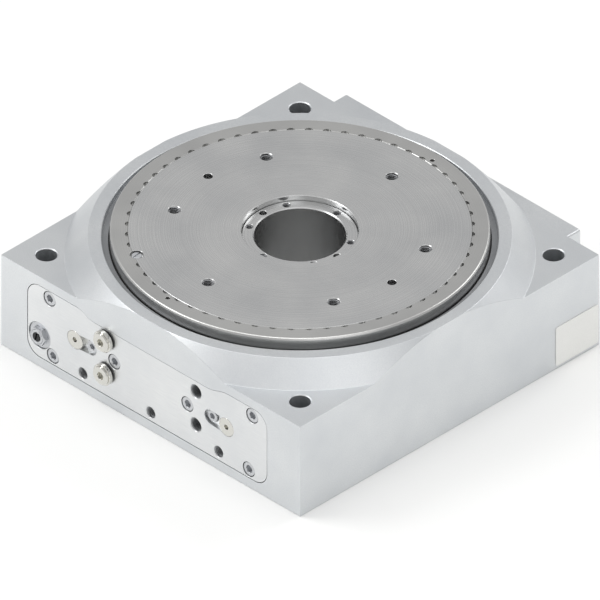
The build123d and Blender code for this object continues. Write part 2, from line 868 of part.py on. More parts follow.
def ring_lock_screw():
    """Slotted screw that keeps the preload ring from turning."""
    bottom = table_top_z - lock_screw_sink_depth
    top = bottom + lock_screw_head_t
    screw = bar_z(lock_screw_head_r, bottom, top)
    screw = screw + bar_z(lock_screw_shank_r, table_top_z - lock_screw_length, bottom)
    slot = Box(3 * lock_screw_head_r, lock_screw_slot, 2 * lock_screw_slot_depth)
    slot = Pos(0, 0, top) * Rot(0, 0, lock_screw_slot_deg) * slot
    x, y = circle_spots(lock_screw_circle_r, 1, lock_screw_deg)[0]
    return Pos(x, y, 0) * (screw - slot)


def index_screw_spots():
    """Screws of the index disc, between its notches."""
    return circle_spots(index_screw_circle_r, index_screw_count, 180.0 / station_count)


def index_disc():
    """Disc with a notch and a pocket for each station."""
    disc = ring_z(index_disc_r, table_bore_r, index_disc_low_z, table_bottom_z)
    notch = box_between(
        (index_disc_r - index_notch_depth, -index_notch_half, index_disc_low_z - 1),
        (index_disc_r + 5, index_notch_half, table_bottom_z + 1),
    )
    tools = [Rot(0, 0, 360.0 * k / station_count) * notch for k in range(station_count)]
    tools += [bar_z(index_pocket_r, index_disc_low_z - 1, table_bottom_z + 1, x, y)
              for x, y in circle_spots(pin_circle_r, station_count)]
    tools += [Pos(x, y, index_disc_low_z) * Rot(180, 0, 0) * flat_sink(m5[0], index_screw_length)
              for x, y in index_screw_spots()]
    return cut_all(disc, tools)


# Drive

def involute(angle):
    """Involute of an angle in radians."""
    return math.tan(angle) - angle


def gear_tooth_half_angle(radius):
    """Half the angle of a gear tooth at a radius, with involute flanks."""
    pressure = math.radians(pressure_deg)
    at_pitch = (tooth_pitch / 2 - gear_backlash) / 2 / gear_pitch_r
    here = math.acos(gear_pitch_r * math.cos(pressure) / radius)
    return at_pitch + involute(pressure) - involute(here)


def gear_face_outline():
    """Closed outline of the gear with straight chords along its flanks."""
    flank = [gear_root_r, (gear_root_r + gear_pitch_r) / 2, gear_pitch_r, gear_tip_r]
    points = []
    for k in range(gear_teeth):
        middle = 2 * math.pi * k / gear_teeth
        for radius in flank:
            angle = middle - gear_tooth_half_angle(radius)
            points.append((radius * math.cos(angle), radius * math.sin(angle)))
        for radius in reversed(flank):
            angle = middle + gear_tooth_half_angle(radius)
            points.append((radius * math.cos(angle), radius * math.sin(angle)))
    return make_face(Polyline(*points, close=True))


def drive_gear():
    """Gear with a hub below and above, bored for the bush and for the coupling pin."""
    gear = Pos(0, 0, gear_low_z) * extrude(gear_face_outline(), gear_face)
    gear = gear + bar_z(drive_hub_r, arm_high_z, drive_hub_top_z)
    x, y = circle_spots(pin_circle_r, 1, pin_deg)[0]
    chamber_top = arm_high_z + 2 * free_gap + pin_head_t + pin_travel
    tools = [
        bar_z(bush_outer_r + fixed_gap, arm_high_z - 1, drive_hub_top_z + 1),
        bar_z(pin_r + running_gap, arm_high_z, drive_hub_top_z + 1, x, y),
        bar_z(pin_head_r + running_gap, arm_high_z - 1, chamber_top, x, y),
    ]
    tools += [place * sink(m5, arm_screw_length) for place in arm_screw_places()]
    return cut_all(gear, tools)


def drive_bush():
    """Bronze bush between the drive gear and the hollow shaft."""
    return ring_z(bush_outer_r, bush_inner_r, arm_low_z, drive_hub_top_z)


def thrust_washer():
    """Bronze washer that carries the drive on the shaft's foot."""
    return ring_z(thrust_washer_r, shaft_outer_r + free_gap, shaft_foot_z, shaft_foot_z + thrust_washer_t)


def coupling_pin():
    """Pin with a piston head that lifts out of the drive gear."""
    x, y = circle_spots(pin_circle_r, 1, pin_deg)[0]
    low = arm_high_z + free_gap
    head = bar_z(pin_head_r, low, low + pin_head_t, x, y)
    return head + bar_z(pin_r, low, drive_hub_top_z - pin_sink, x, y)


def arm_screw_places():
    """Screws from below that hold the stop arm to the drive gear."""
    spots = [circle_spots(pin_circle_r, 1, deg)[0] for deg in arm_screw_degs]
    return [Pos(x, y, arm_low_z + screw_recess) * Rot(180, 0, 0) for x, y in spots]


def arm_at_stop():
    """Turns what is drawn at the end of the swing back to where it rests."""
    return Rot(0, 0, -swing_deg)


def stop_arm():
    """Ring under the drive gear with an arm and a lug that meets the shock absorber."""
    ring = bar_z(drive_hub_r, arm_low_z, arm_high_z)
    lug_back_y = lug_face_y + lug_length
    lug = box_between((lug_outer_x, lug_face_y, arm_low_z), (lug_inner_x, lug_back_y, lug_top_z))
    lug_middle_y = (lug_face_y + lug_back_y) / 2
    reach = math.hypot(lug_inner_x, lug_middle_y)
    bar = box_between((-reach - arm_overrun, -arm_width / 2, arm_low_z), (0, arm_width / 2, arm_high_z))
    bar = Rot(0, 0, math.degrees(math.atan2(-lug_middle_y, -lug_inner_x))) * bar
    socket_end = lug_face_y - pad_proud + pad_length
    socket = bar_y(pad_r + fixed_gap, lug_face_y - 1, socket_end, absorber_x, absorber_z)
    arm = arm_at_stop() * (ring + bar + lug - socket)
    arm = arm - bar_z(bush_outer_r + fixed_gap, arm_low_z - 1, arm_high_z + 1)
    return cut_all(arm, [place * sink(m5, arm_screw_length) for place in arm_screw_places()])


def stop_pad():
    """Hardened button in the lug."""
    low = lug_face_y - pad_proud
    return arm_at_stop() * bar_y(pad_r, low, low + pad_length, absorber_x, absorber_z)


def rack(side):
    """Toothed rack with a piston head at each end; side 1 is the right one."""
    start = -side * rack_travel / 2
    middle = cylinder_middle_y
    body = bar_y(rack_waist_r, middle - rack_length / 2, middle + rack_length / 2)
    for end in (1, -1):
        outer = middle + end * rack_length / 2
        inner = outer - end * rack_head_length
        body = body + bar_y(cylinder_bore_r - running_gap, min(outer, inner), max(outer, inner))
        body = body - rack_seal_ring(end, cylinder_bore_r)
    tip_x = cylinder_x - gear_pitch_r + gear_module
    root_x = cylinder_x - gear_pitch_r - gear_root_share * gear_module
    reach = 2 * cylinder_bore_r
    flat_half = (rack_half_spaces + 0.5) * tooth_pitch + rack_end_tooth
    body = body - box_between((-cylinder_bore_r, -flat_half, -reach), (-tip_x, flat_half, reach))
    slope = math.tan(math.radians(pressure_deg))
    space_tip = tooth_pitch / 4 + gear_module * slope + gear_backlash / 2
    space_root = tooth_pitch / 4 - gear_root_share * gear_module * slope + gear_backlash / 2
    face = make_face(Polyline(
        (-tip_x - 1, -space_tip - slope),
        (-tip_x - 1, space_tip + slope),
        (-root_x, space_root),
        (-root_x, -space_root),
        close=True,
    ))
    space = Pos(0, 0, -reach) * extrude(face, 2 * reach)
    first_y = -math.remainder(start, tooth_pitch)
    spaces = range(-rack_half_spaces, rack_half_spaces + 1)
    body = cut_all(body, [Pos(0, first_y + k * tooth_pitch, 0) * space for k in spaces])
    if side < 0:
        body = mirror(body, Plane.YZ)
    return Pos(side * cylinder_x, start, cylinder_z) * body


def rack_seal_ring(end, outer=cylinder_bore_r - running_gap):
    """Seal ring of a piston head, drawn on the rack's own axis."""
    edge = cylinder_middle_y + end * (rack_length / 2 - seal_from_end)
    low, high = min(edge, edge - end * seal_width), max(edge, edge - end * seal_width)
    return bar_y(outer, low, high) - bar_y(cylinder_bore_r - running_gap - seal_depth, low - 1, high + 1)


def rack_seals(side):
    """Two piston seals of a rack."""
    place = Pos(side * cylinder_x, -side * rack_travel / 2, cylinder_z)
    return [place * rack_seal_ring(end) for end in (1, -1)]


def cylinder_liner(side):
    """Cylinder tube with a window towards the gear."""
    x = side * cylinder_x
    tube = bar_y(liner_outer_r, recess_y, rear_y, x, cylinder_z)
    tube = tube - bar_y(cylinder_bore_r, recess_y - 1, rear_y + 1, x, cylinder_z)
    edges = sorted((side * liner_window_x, side * (cylinder_x - liner_outer_r - 2)))
    window = box_between((edges[0], -liner_window_half, 0), (edges[1], liner_window_half, body_corner_z))
    return tube - window


# Shock absorber

def absorber_body():
    """Threaded body of the shock absorber, hollow for its rod and its adjusting screw."""
    body = bar_y(absorber_r, absorber_outer_y, absorber_inner_y, absorber_x, absorber_z)
    rod_end = absorber_inner_y - absorber_rod_in - absorber_travel - free_gap
    body = body - bar_y(absorber_rod_r + running_gap, rod_end, absorber_inner_y + 1, absorber_x, absorber_z)
    adjuster_end = absorber_outer_y - adjuster_proud + adjuster_length + adjuster_end_gap
    return body - bar_y(adjuster_r + running_gap, absorber_outer_y - 1, adjuster_end, absorber_x, absorber_z)


def absorber_washer():
    """Washer under the lock nut."""
    washer = ring_z(absorber_washer_r, absorber_r + fixed_gap, 0, absorber_washer_t)
    return facing_front(absorber_x, absorber_z, absorber_seat_y) * washer


def absorber_nut():
    """Hexagonal lock nut with its outer corners turned off."""
    low, high = absorber_washer_t, absorber_washer_t + absorber_nut_t
    corner_r = absorber_nut_flats / 2 / math.cos(math.pi / 6)
    shell = turned([
        (0, low),
        (corner_r, low),
        (corner_r, high - absorber_nut_chamfer),
        (absorber_nut_flats / 2, high),
        (0, high),
    ])
    nut = (hex_bar(absorber_nut_flats, low, high) & shell) - bar_z(absorber_r + fixed_gap, 0, high + 1)
    return facing_front(absorber_x, absorber_z, absorber_seat_y) * nut


def absorber_rod():
    """Sprung rod of the shock absorber, its head just short of the stop pad."""
    tip, foot = absorber_tip_y, absorber_inner_y - absorber_rod_in
    head = bar_y(absorber_rod_head_r, tip - absorber_rod_head_t, tip, absorber_x, absorber_z)
    return head + bar_y(absorber_rod_r, foot, tip, absorber_x, absorber_z)


def absorber_adjuster():
    """Slotted adjusting screw in the absorber's outer end."""
    outer = absorber_outer_y - adjuster_proud
    screw = bar_y(adjuster_r, outer, outer + adjuster_length, absorber_x, absorber_z)
    slot = Pos(absorber_x, outer, absorber_z) * Rot(0, adjuster_slot_deg, 0)
    return screw - slot * Box(adjuster_slot, 2 * adjuster_slot_depth, 3 * adjuster_r)


# Rear plate and lock bolt

def rear_screw_places():
    """Where the heads of the rear plate's screws lie, just below its face."""
    return [facing_rear(x, z, rear_face_y - screw_recess) for x, z in both_sides(rear_screw_spots)]


def rear_slab(low_y, high_y):
    """The rear plate's outline as a slab between two planes."""
    height = rear_top_z - rear_bottom_z
    face = RectangleRounded(2 * rear_half_width, height, rear_corner_r)
    slab = extrude(face, high_y - low_y)
    return Pos(0, high_y, (rear_top_z + rear_bottom_z) / 2) * Rot(90, 0, 0) * slab


def rear_plate():
    """Plate that closes the cylinders and the lock bolt's chamber."""
    plate = rear_slab(rear_y + rear_gasket_t, rear_face_y)
    return cut_all(plate, [place * sink(m6, rear_screw_length) for place in rear_screw_places()])


def rear_gasket():
    """Thin gasket under the rear plate."""
    gasket = rear_slab(rear_y, rear_y + rear_gasket_t)
    tools = [place * sink(m6, rear_screw_length) for place in rear_screw_places()]
    tools += [bar_y(cylinder_bore_r, rear_y - 1, rear_face_y, side * cylinder_x, cylinder_z)
              for side in (1, -1)]
    tools.append(bar_y(bolt_head_r, rear_y - 1, rear_face_y, 0, bolt_z))
    return cut_all(gasket, tools)


def bolt_seal_ring(outer_r=bolt_head_r):
    """Seal of the lock bolt's piston head."""
    low = bolt_head_y + (bolt_head_t - bolt_seal_width) / 2
    outer = bar_y(outer_r, low, low + bolt_seal_width, 0, bolt_z)
    return outer - bar_y(bolt_head_r - bolt_seal_depth, low - 1, low + bolt_seal_width + 1, 0, bolt_z)


def lock_bolt():
    """Bolt with a tapered tip and a piston head, drawn back from the index disc."""
    shoulder_y = bolt_rest_y + bolt_tip_length
    tip = Pos(0, bolt_rest_y + bolt_tip_length / 2, bolt_z) * Rot(-90, 0, 0)
    bolt = tip * Cone(bolt_tip_r, bolt_r, bolt_tip_length)
    bolt = bolt + bar_y(bolt_r, shoulder_y, bolt_head_y + bolt_head_t, 0, bolt_z)
    bolt = bolt + bar_y(bolt_head_r, bolt_head_y, bolt_head_y + bolt_head_t, 0, bolt_z)
    return bolt - bolt_seal_ring(bolt_head_r + 1)


def lock_bolt_bush():
    """Thin bush that guides the lock bolt."""
    outer_r = bolt_r + running_gap + bolt_bush_wall
    low, high = cavity_r + free_gap, bolt_chamber_y
    return bar_y(outer_r, low, high, 0, bolt_z) - bar_y(bolt_r + running_gap, low - 1, high + 1, 0, bolt_z)


def screws_at(places, screw):
    """The same screw at each place."""
    return [place * screw for place in places]


def all_nodes():
    """Every node's name with its solid or solids."""
    index_places = [Pos(x, y, index_disc_low_z) * Rot(180, 0, 0) for x, y in index_screw_spots()]
    flow_places = [flow_lock_place(side) for side in (1, -1)]
    return {
        "housing": housing(),
        "label_plate": label_plate(),
        "base_plate": base_plate(),
        "base_plate_screws": screws_at(base_screw_places(), flat_screw(m5[0], base_screw_length)),
        "front_panel": front_panel(),
        "front_gasket": front_gasket(),
        "front_panel_screws": screws_at(panel_screw_places(), cap_screw(m6, panel_screw_length)),
        "port_plugs": port_plugs(),
        "port_plug_seals": port_plug_seals(),
        "flow_screw_right": flow_screw(1),
        "flow_screw_left": flow_screw(-1),
        "flow_lock_screws": screws_at(flow_places, cap_screw(m5, flow_lock_length)),
        "rear_plate": rear_plate(),
        "rear_gasket": rear_gasket(),
        "rear_plate_screws": screws_at(rear_screw_places(), cap_screw(m6, rear_screw_length)),
        "hollow_shaft": hollow_shaft(),
        "hollow_shaft_screws": screws_at(shaft_screw_places(), flat_screw(m5[0], shaft_screw_length)),
        "shaft_seal": shaft_seal(),
        "bearing_inner_ring": inner_ring(),
        "bearing_outer_ring_lower": outer_ring_half(-1),
        "bearing_outer_ring_upper": outer_ring_half(1),
        "bearing_rollers": rollers(),
        "bearing_roller_spacers": roller_spacers(),
        "bearing_retaining_ring": bearing_retainer(),
        "bearing_seal": bearing_seal(),
        "rotary_plate": rotary_plate(),
        "preload_ring": preload_ring(),
        "preload_ring_lock_screw": ring_lock_screw(),
        "index_disc": index_disc(),
        "index_disc_screws": screws_at(index_places, flat_screw(m5[0], index_screw_length)),
        "drive_gear": drive_gear(),
        "drive_bush": drive_bush(),
        "drive_thrust_washer": thrust_washer(),
        "coupling_pin": coupling_pin(),
        "stop_arm": stop_arm(),
        "stop_arm_screws": screws_at(arm_screw_places(), cap_screw(m5, arm_screw_length)),
        "stop_pad": stop_pad(),
        "rack_right": rack(1),
        "rack_left": rack(-1),
        "rack_seals_right": rack_seals(1),
        "rack_seals_left": rack_seals(-1),
        "cylinder_liner_right": cylinder_liner(1),
        "cylinder_liner_left": cylinder_liner(-1),
        "shock_absorber_body": absorber_body(),
        "shock_absorber_washer": absorber_washer(),
        "shock_absorber_nut": absorber_nut(),
        "shock_absorber_rod": absorber_rod(),
        "shock_absorber_adjuster": absorber_adjuster(),
        "lock_bolt": lock_bolt(),
        "lock_bolt_seal": bolt_seal_ring(),
        "lock_bolt_bush": lock_bolt_bush(),
    }


def write_nodes():
    """Writes one STEP file per node."""
    os.makedirs("parts", exist_ok=True)
    for name, shape in all_nodes().items():
        if isinstance(shape, list):
            shape = Compound([solid for piece in shape for solid in piece.solids()])
        export_step(shape, f"parts/{name}.step")


write_nodes()
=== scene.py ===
"""Dresses the rotary indexing table: meshes, procedural finishes, floor, light and camera."""

from __future__ import annotations

import json
import logging
import math
from dataclasses import dataclass
from enum import Enum

import bmesh
import bpy
from mathutils import Matrix, Vector

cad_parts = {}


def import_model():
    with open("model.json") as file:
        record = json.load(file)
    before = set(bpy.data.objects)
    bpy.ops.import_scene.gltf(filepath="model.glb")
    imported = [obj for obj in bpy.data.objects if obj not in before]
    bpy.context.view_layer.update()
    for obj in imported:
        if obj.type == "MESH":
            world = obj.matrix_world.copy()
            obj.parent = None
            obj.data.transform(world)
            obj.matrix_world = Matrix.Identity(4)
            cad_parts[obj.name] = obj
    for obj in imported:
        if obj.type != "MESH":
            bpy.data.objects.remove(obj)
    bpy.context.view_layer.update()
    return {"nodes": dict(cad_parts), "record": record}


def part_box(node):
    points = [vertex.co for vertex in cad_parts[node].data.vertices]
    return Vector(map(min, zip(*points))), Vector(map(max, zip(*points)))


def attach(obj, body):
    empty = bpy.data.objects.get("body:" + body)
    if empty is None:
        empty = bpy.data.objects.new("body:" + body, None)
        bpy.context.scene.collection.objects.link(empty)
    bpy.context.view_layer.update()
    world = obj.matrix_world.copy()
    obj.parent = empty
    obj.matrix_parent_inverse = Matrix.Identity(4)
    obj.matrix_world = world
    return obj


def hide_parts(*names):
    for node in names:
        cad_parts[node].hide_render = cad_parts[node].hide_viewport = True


log = logging.getLogger("indexing_table")

MM = 0.001
# Steps of a full turn, from the widest pieces to the smallest.
ROUND = 240
MID_ROUND = 64
SMALL_ROUND = 48
TINY_ROUND = 32
SHARP_ANGLE = math.radians(24.0)
# soften() leaves an edge that turns by less alone. The larger angle spares the chords of a
# rounded corner, so that only the rim of a plate is softened.
SOFT_DEG = 25.0
RIM_DEG = 40.0
# In metres: points nearer than this are one point.
MERGE_DISTANCE = 1e-7

# In millimetres: how far a cutting tool reaches past a face, and the depth of a hole that goes
# through a plate.
OVERCUT = 1.0
THROUGH = 30.0

# Places that more than one piece shares, in millimetres.
FRONT_Y = -135.0
ABSORBER_X, ABSORBER_Z = -100.3, 24.2
CYLINDER_X, CYLINDER_Z = 68.4, 36.7

# The rotary plate and the shaft's flange each have six tapped holes and two dowel holes on a
# circle. This is how many there are and the angle of the first.
TAPPED_CIRCLE = (6, 30.0)
DOWEL_CIRCLE = (2, 0.0)

# Broad soft patches of about 45 mm, which vary the tint of every finish.
CLOUD_SCALE = 22.0
# The span of the noise that goes from the shade to the colour, and from glossy to dull.
TINT_RANGE = (0.1, 0.45)
GLOSS_RANGE = (0.3, 0.7)
BUMP_STRENGTH = 0.5
# Milling and grinding leave marks that run along X.
GRINDING_STRETCH = (0.04, 1.0, 1.0)

Outline = list[tuple[float, float]]
Corner = tuple[float, float, float]
Points = tuple[tuple[float, float], ...]


class Pattern(Enum):
    """What machining or moulding left on a surface."""

    BLASTED = "blasted"
    TURNED = "turned"
    GROUND = "ground"
    MOULDED = "moulded"


def linear(hex_colour: str) -> tuple[float, float, float, float]:
    """Turns an sRGB hex colour to linear values.

    Args:
        hex_colour: six hex digits after a hash sign.

    Returns:
        Linear red, green, blue and an alpha of 1.
    """
    parts = [int(hex_colour[i:i + 2], 16) / 255 for i in (1, 3, 5)]
    red, green, blue = (c / 12.92 if c <= 0.04045 else ((c + 0.055) / 1.055) ** 2.4
                        for c in parts)
    return red, green, blue, 1.0


def add_node(tree: bpy.types.NodeTree, kind: str, settings: dict | None = None,
             links: dict | None = None) -> bpy.types.Node:
    """Adds a node with its settings and links.

    Args:
        tree: the material's node tree.
        kind: the node's type, without its ShaderNode prefix.
        settings: attribute names, or input names or numbers, with their values.
        links: input names or numbers with the output sockets that feed them.

    Returns:
        The new node.
    """
    made = tree.nodes.new("ShaderNode" + kind)
    for key, value in (settings or {}).items():
        if isinstance(key, str) and hasattr(made, key):
            setattr(made, key, value)
        else:
            made.inputs[key].default_value = value
    for key, socket in (links or {}).items():
        tree.links.new(socket, made.inputs[key])
    return made


@dataclass(frozen=True)
class Finish:
    """A surface finish: its colour, its gloss and what making it left behind."""

    name: str
    colour: str
    shade: str
    metallic: float
    roughness: float
    pattern: Pattern
    grain_mm: float
    depth_mm: float
    roughness_spread: float = 0.06

    def grain(self, tree: bpy.types.NodeTree) -> bpy.types.NodeSocket:
        """Builds the fine pattern of the surface.

        Args:
            tree: the material's node tree.

        Returns:
            The socket of a value from 0 to 1.
        """
        here = add_node(tree, "TexCoord").outputs["Object"]
        per_metre = 1.0 / (self.grain_mm * MM)
        if self.pattern is Pattern.TURNED:
            flat = add_node(tree, "VectorMath", {"operation": "MULTIPLY", 1: (1.0, 1.0, 0.0)},
                            {0: here})
            radius = add_node(tree, "VectorMath", {"operation": "LENGTH"},
                              {0: flat.outputs["Vector"]})
            turns = add_node(tree, "Math", {"operation": "MULTIPLY", 1: per_metre},
                             {0: radius.outputs["Value"]})
            noise = {"noise_dimensions": "1D", "Scale": 1.0, "Detail": 3.0}
            return add_node(tree, "TexNoise", noise, {"W": turns.outputs[0]}).outputs[0]
        stretch = GRINDING_STRETCH if self.pattern is Pattern.GROUND else (1.0, 1.0, 1.0)
        spread = add_node(tree, "Mapping", {"Scale": stretch}, {"Vector": here})
        noise = {"Scale": per_metre, "Detail": 4.0, "Roughness": 0.55}
        return add_node(tree, "TexNoise", noise, {"Vector": spread.outputs[0]}).outputs[0]

    def material(self) -> bpy.types.Material:
        """Makes the material, or finds it if it was made before.

        Returns:
            The material, named for the finish.
        """
        if self.name in bpy.data.materials:
            return bpy.data.materials[self.name]
        made = bpy.data.materials.new(self.name)
        made.use_nodes = True
        tree = made.node_tree
        shader = tree.nodes["Principled BSDF"]
        shader.inputs["Metallic"].default_value = self.metallic
        grain = self.grain(tree)
        here = add_node(tree, "TexCoord").outputs["Object"]
        cloud = add_node(tree, "TexNoise", {"Scale": CLOUD_SCALE, "Detail": 3.0},
                         {"Vector": here}).outputs[0]
        both = add_node(tree, "Math", {"operation": "MULTIPLY"}, {0: grain, 1: cloud}).outputs[0]
        tint = add_node(tree, "MapRange", {"From Min": TINT_RANGE[0], "From Max": TINT_RANGE[1]},
                        {"Value": both})
        colour = add_node(tree, "Mix", {"data_type": "RGBA", 6: linear(self.shade),
                                        7: linear(self.colour)}, {0: tint.outputs[0]})
        gloss = add_node(tree, "MapRange", {"From Min": GLOSS_RANGE[0], "From Max": GLOSS_RANGE[1],
                                            "To Min": self.roughness - self.roughness_spread,
                                            "To Max": self.roughness + self.roughness_spread},
                         {"Value": grain})
        bump = add_node(tree, "Bump", {"Strength": BUMP_STRENGTH, "Distance": self.depth_mm * MM},
                        {"Height": grain})
        tree.links.new(colour.outputs[2], shader.inputs["Base Color"])
        tree.links.new(gloss.outputs[0], shader.inputs["Roughness"])
        tree.links.new(bump.outputs[0], shader.inputs["Normal"])
        return made


# A picture dot is 0.64 mm wide. The real grain of these surfaces is 0.05 to 0.2 mm, too fine to
# show, so each is drawn at 0.35 to 0.9 mm.

# Clear-anodised aluminium, milled and bead-blasted: pale, even and silky, with a grain that only
# shows close up. The real grain is about 0.1 mm and is drawn at 0.7 mm so that it shows.
CLEAR_ANODISED = Finish("clear_anodised_aluminium", "#E3E5E6", "#D2D5D8", 1.0, 0.42,
                        Pattern.BLASTED, 0.7, 0.02)
# The panel's aluminium is milled flat and anodised in the same bath, with a smoother face. Its
# milling marks of about 0.1 mm are drawn at 0.5 mm.
MILLED_ANODISED = Finish("milled_anodised_aluminium", "#E9EAEA", "#DADCDE", 1.0, 0.34,
                         Pattern.GROUND, 0.5, 0.01)
# Face-turned steel: rings about the axis. The feed is about 0.15 mm and is drawn at 0.5 mm.
TURNED_STEEL = Finish("turned_tool_steel", "#DCDCDB", "#C4C5C6", 1.0, 0.28,
                      Pattern.TURNED, 0.5, 0.012, 0.08)
# The ring is turned from bearing steel with a finer feed, drawn at 0.35 mm, and is a touch darker.
BEARING_STEEL = Finish("turned_bearing_steel", "#CFCFCD", "#B9B9B8", 1.0, 0.33,
                       Pattern.TURNED, 0.35, 0.01, 0.05)
# Cut threads: the tap tears the flanks, so they are duller than the turned face; their darker
# colour is painted shade for the inside of the holes.
SHADED_THREAD_STEEL = Finish("thread_steel_painted_shade", "#8B8C8E", "#707173", 1.0, 0.46,
                    Pattern.BLASTED, 0.4, 0.01)
# The same in the panel's aluminium: the flanks are rough and duller, and their darker grey is
# painted shade inside the ports and tapped holes.
SHADED_THREAD_ALUMINIUM = Finish("thread_aluminium_painted_shade", "#A4A6A8", "#888A8C", 1.0, 0.48,
                       Pattern.BLASTED, 0.4, 0.01)
# Plain ground steel of the inner parts.
GROUND_STEEL = Finish("ground_steel", "#C9CACB", "#B0B1B3", 1.0, 0.3, Pattern.GROUND, 0.4, 0.01)
# Zinc-plated screws: bright, slightly blue, with a fine crystalline bloom.
ZINC_PLATED = Finish("zinc_plated_steel", "#CDD1D6", "#AEB4BC", 1.0, 0.3,
                     Pattern.BLASTED, 0.5, 0.01, 0.08)
# Black-oxide steel: dark grey with an oily sheen.
BLACK_OXIDE = Finish("black_oxide_steel", "#3B3C3E", "#242526", 0.8, 0.36,
                     Pattern.BLASTED, 0.5, 0.01)
# Phosphated spring steel of the bearing's retaining ring: an even mid grey without gloss.
PHOSPHATED = Finish("phosphated_spring_steel", "#A3A5A7", "#8D8F92", 0.9, 0.46,
                    Pattern.BLASTED, 0.6, 0.012)
# Nickel-plated brass of the plugs and flow screws: warm silver, polished.
NICKEL_BRASS = Finish("nickel_plated_brass", "#D9D4C8", "#C2BCAE", 1.0, 0.2,
                      Pattern.BLASTED, 0.6, 0.006, 0.05)
# Sintered bronze with its pores.
BRONZE = Finish("sintered_bronze", "#B98E56", "#94693A", 1.0, 0.38, Pattern.BLASTED, 0.5, 0.02)
# Moulded nitrile rubber: nearly black, dull, with a faint bloom.
NITRILE = Finish("nitrile_rubber", "#1D1D1E", "#141415", 0.0, 0.62, Pattern.MOULDED, 0.6, 0.015)
# Natural acetal: milky white and waxy.
ACETAL = Finish("acetal", "#EDECE6", "#E2E1DA", 0.0, 0.4, Pattern.MOULDED, 0.8, 0.008)
# Satin polyester foil of the bare label.
FOIL = Finish("satin_polyester_foil", "#EFEFEC", "#E6E6E3", 0.0, 0.35,
              Pattern.MOULDED, 0.9, 0.004)

SLOT_FINISH = {
    "anodised_aluminium": CLEAR_ANODISED,
    "ground_steel": GROUND_STEEL,
    "blackened_steel": BLACK_OXIDE,
    "zinc_plated_steel": ZINC_PLATED,
    "nickel_plated_brass": NICKEL_BRASS,
    "bronze": BRONZE,
    "black_rubber": NITRILE,
    "acetal": ACETAL,
    "foil_label": FOIL,
}
# Nodes whose finish is a kind of their slot's metal.
NODE_FINISH = {"bearing_retaining_ring": PHOSPHATED}


def lathe(profile: Outline, segments: int = ROUND) -> bmesh.types.BMesh:
    """Turns a profile about Z.

    Args:
        profile: (radius, height) points in millimetres: a loop, or a line that starts and ends
            on the axis.
        segments: how many steps make a full turn.

    Returns:
        A closed bmesh in metres.
    """
    bm = bmesh.new()
    verts = [bm.verts.new((r * MM, 0.0, z * MM)) for r, z in profile]
    pairs = list(zip(verts, verts[1:]))
    if profile[0][0] > 0:
        pairs.append((verts[-1], verts[0]))
    edges = [bm.edges.new(pair) for pair in pairs]
    bmesh.ops.spin(bm, geom=verts + edges, cent=(0, 0, 0), axis=(0, 0, 1), angle=2 * math.pi,
                   steps=segments, use_merge=True)
    bmesh.ops.remove_doubles(bm, verts=bm.verts, dist=MERGE_DISTANCE)
    bmesh.ops.recalc_face_normals(bm, faces=bm.faces)
    return bm


def turned(corners: list[Corner], segments: int = ROUND) -> bmesh.types.BMesh:
    """Turns a profile whose corners are chamfered.

    Args:
        corners: radius, height and chamfer of each corner, in millimetres, 0 where it is sharp.
        segments: how many steps make a full turn.

    Returns:
        A closed bmesh in metres.
    """
    profile: Outline = []
    for k, (r, z, size) in enumerate(corners):
        if size == 0:
            profile.append((r, z))
            continue
        for near_r, near_z, _ in (corners[k - 1], corners[(k + 1) % len(corners)]):
            share = size / math.hypot(near_r - r, near_z - z)
            profile.append((r + (near_r - r) * share, z + (near_z - z) * share))
    return lathe(profile, segments)


def stepped(low: float, steps: Points) -> Outline:
    """Profile of a turned shape with plain steps.

    Args:
        low: height of its lower end.
        steps: radius and upper end of each step, from the bottom up.

    Returns:
        The points, from axis to axis.
    """
    profile: Outline = [(0.0, low)]
    for radius, high in steps:
        profile += [(radius, profile[-1][1]), (radius, high)]
    return profile + [(0.0, profile[-1][1])]


def bar(radius: float, low: float, high: float, segments: int = SMALL_ROUND) -> bmesh.types.BMesh:
    """Round bar along Z, in millimetres."""
    return lathe(stepped(low, ((radius, high),)), segments)


def prism(outline: Outline, low: float, high: float) -> bmesh.types.BMesh:
    """Extrudes a flat outline.

    Args:
        outline: its corners in X and Y, in millimetres.
        low: height of its lower face.
        high: height of its upper face.

    Returns:
        A closed bmesh in metres.
    """
    bm = bmesh.new()
    face = bm.faces.new([bm.verts.new((x * MM, y * MM, low * MM)) for x, y in outline])
    grown = bmesh.ops.extrude_face_region(bm, geom=[face])["geom"]
    raised = [item for item in grown if isinstance(item, bmesh.types.BMVert)]
    bmesh.ops.translate(bm, verts=raised, vec=(0, 0, (high - low) * MM))
    bmesh.ops.recalc_face_normals(bm, faces=bm.faces)
    return bm


def corner_reach(flats: float) -> float:
    """Distance from a hexagon's centre to its corners, from its width across the flats."""
    return flats / 2 / math.cos(math.pi / 6)


def hexagon(flats: float, turn_deg: float = 0.0) -> Outline:
    """Corners of a hexagon.

    Args:
        flats: width across the flats.
        turn_deg: angle of its first corner.

    Returns:
        Its six corners about the origin.
    """
    reach = corner_reach(flats)
    angles = [math.radians(turn_deg + 60 * k) for k in range(6)]
    return [(reach * math.cos(a), reach * math.sin(a)) for a in angles]


def rounded(corners: list[Corner], steps: int = 10) -> Outline:
    """Rounds the corners of a polygon.

    Args:
        corners: x, y and radius of each corner, in millimetres.
        steps: how many chords make each arc.

    Returns:
        The rounded outline.
    """
    made: Outline = []
    count = len(corners)
    for k, (x, y, radius) in enumerate(corners):
        if radius <= 0:
            made.append((x, y))
            continue
        here = Vector((x, y))
        back = (Vector(corners[k - 1][:2]) - here).normalized()
        ahead = (Vector(corners[(k + 1) % count][:2]) - here).normalized()
        half = back.angle(ahead) / 2
        centre = here + (back + ahead).normalized() * (radius / math.sin(half))
        start = here + back * (radius / math.tan(half)) - centre
        sweep = -start.angle_signed(here + ahead * (radius / math.tan(half)) - centre)
        for step in range(steps + 1):
            arm = start.copy()
            arm.rotate(Matrix.Rotation(sweep * step / steps, 2))
            made.append(tuple(centre + arm))
    return made


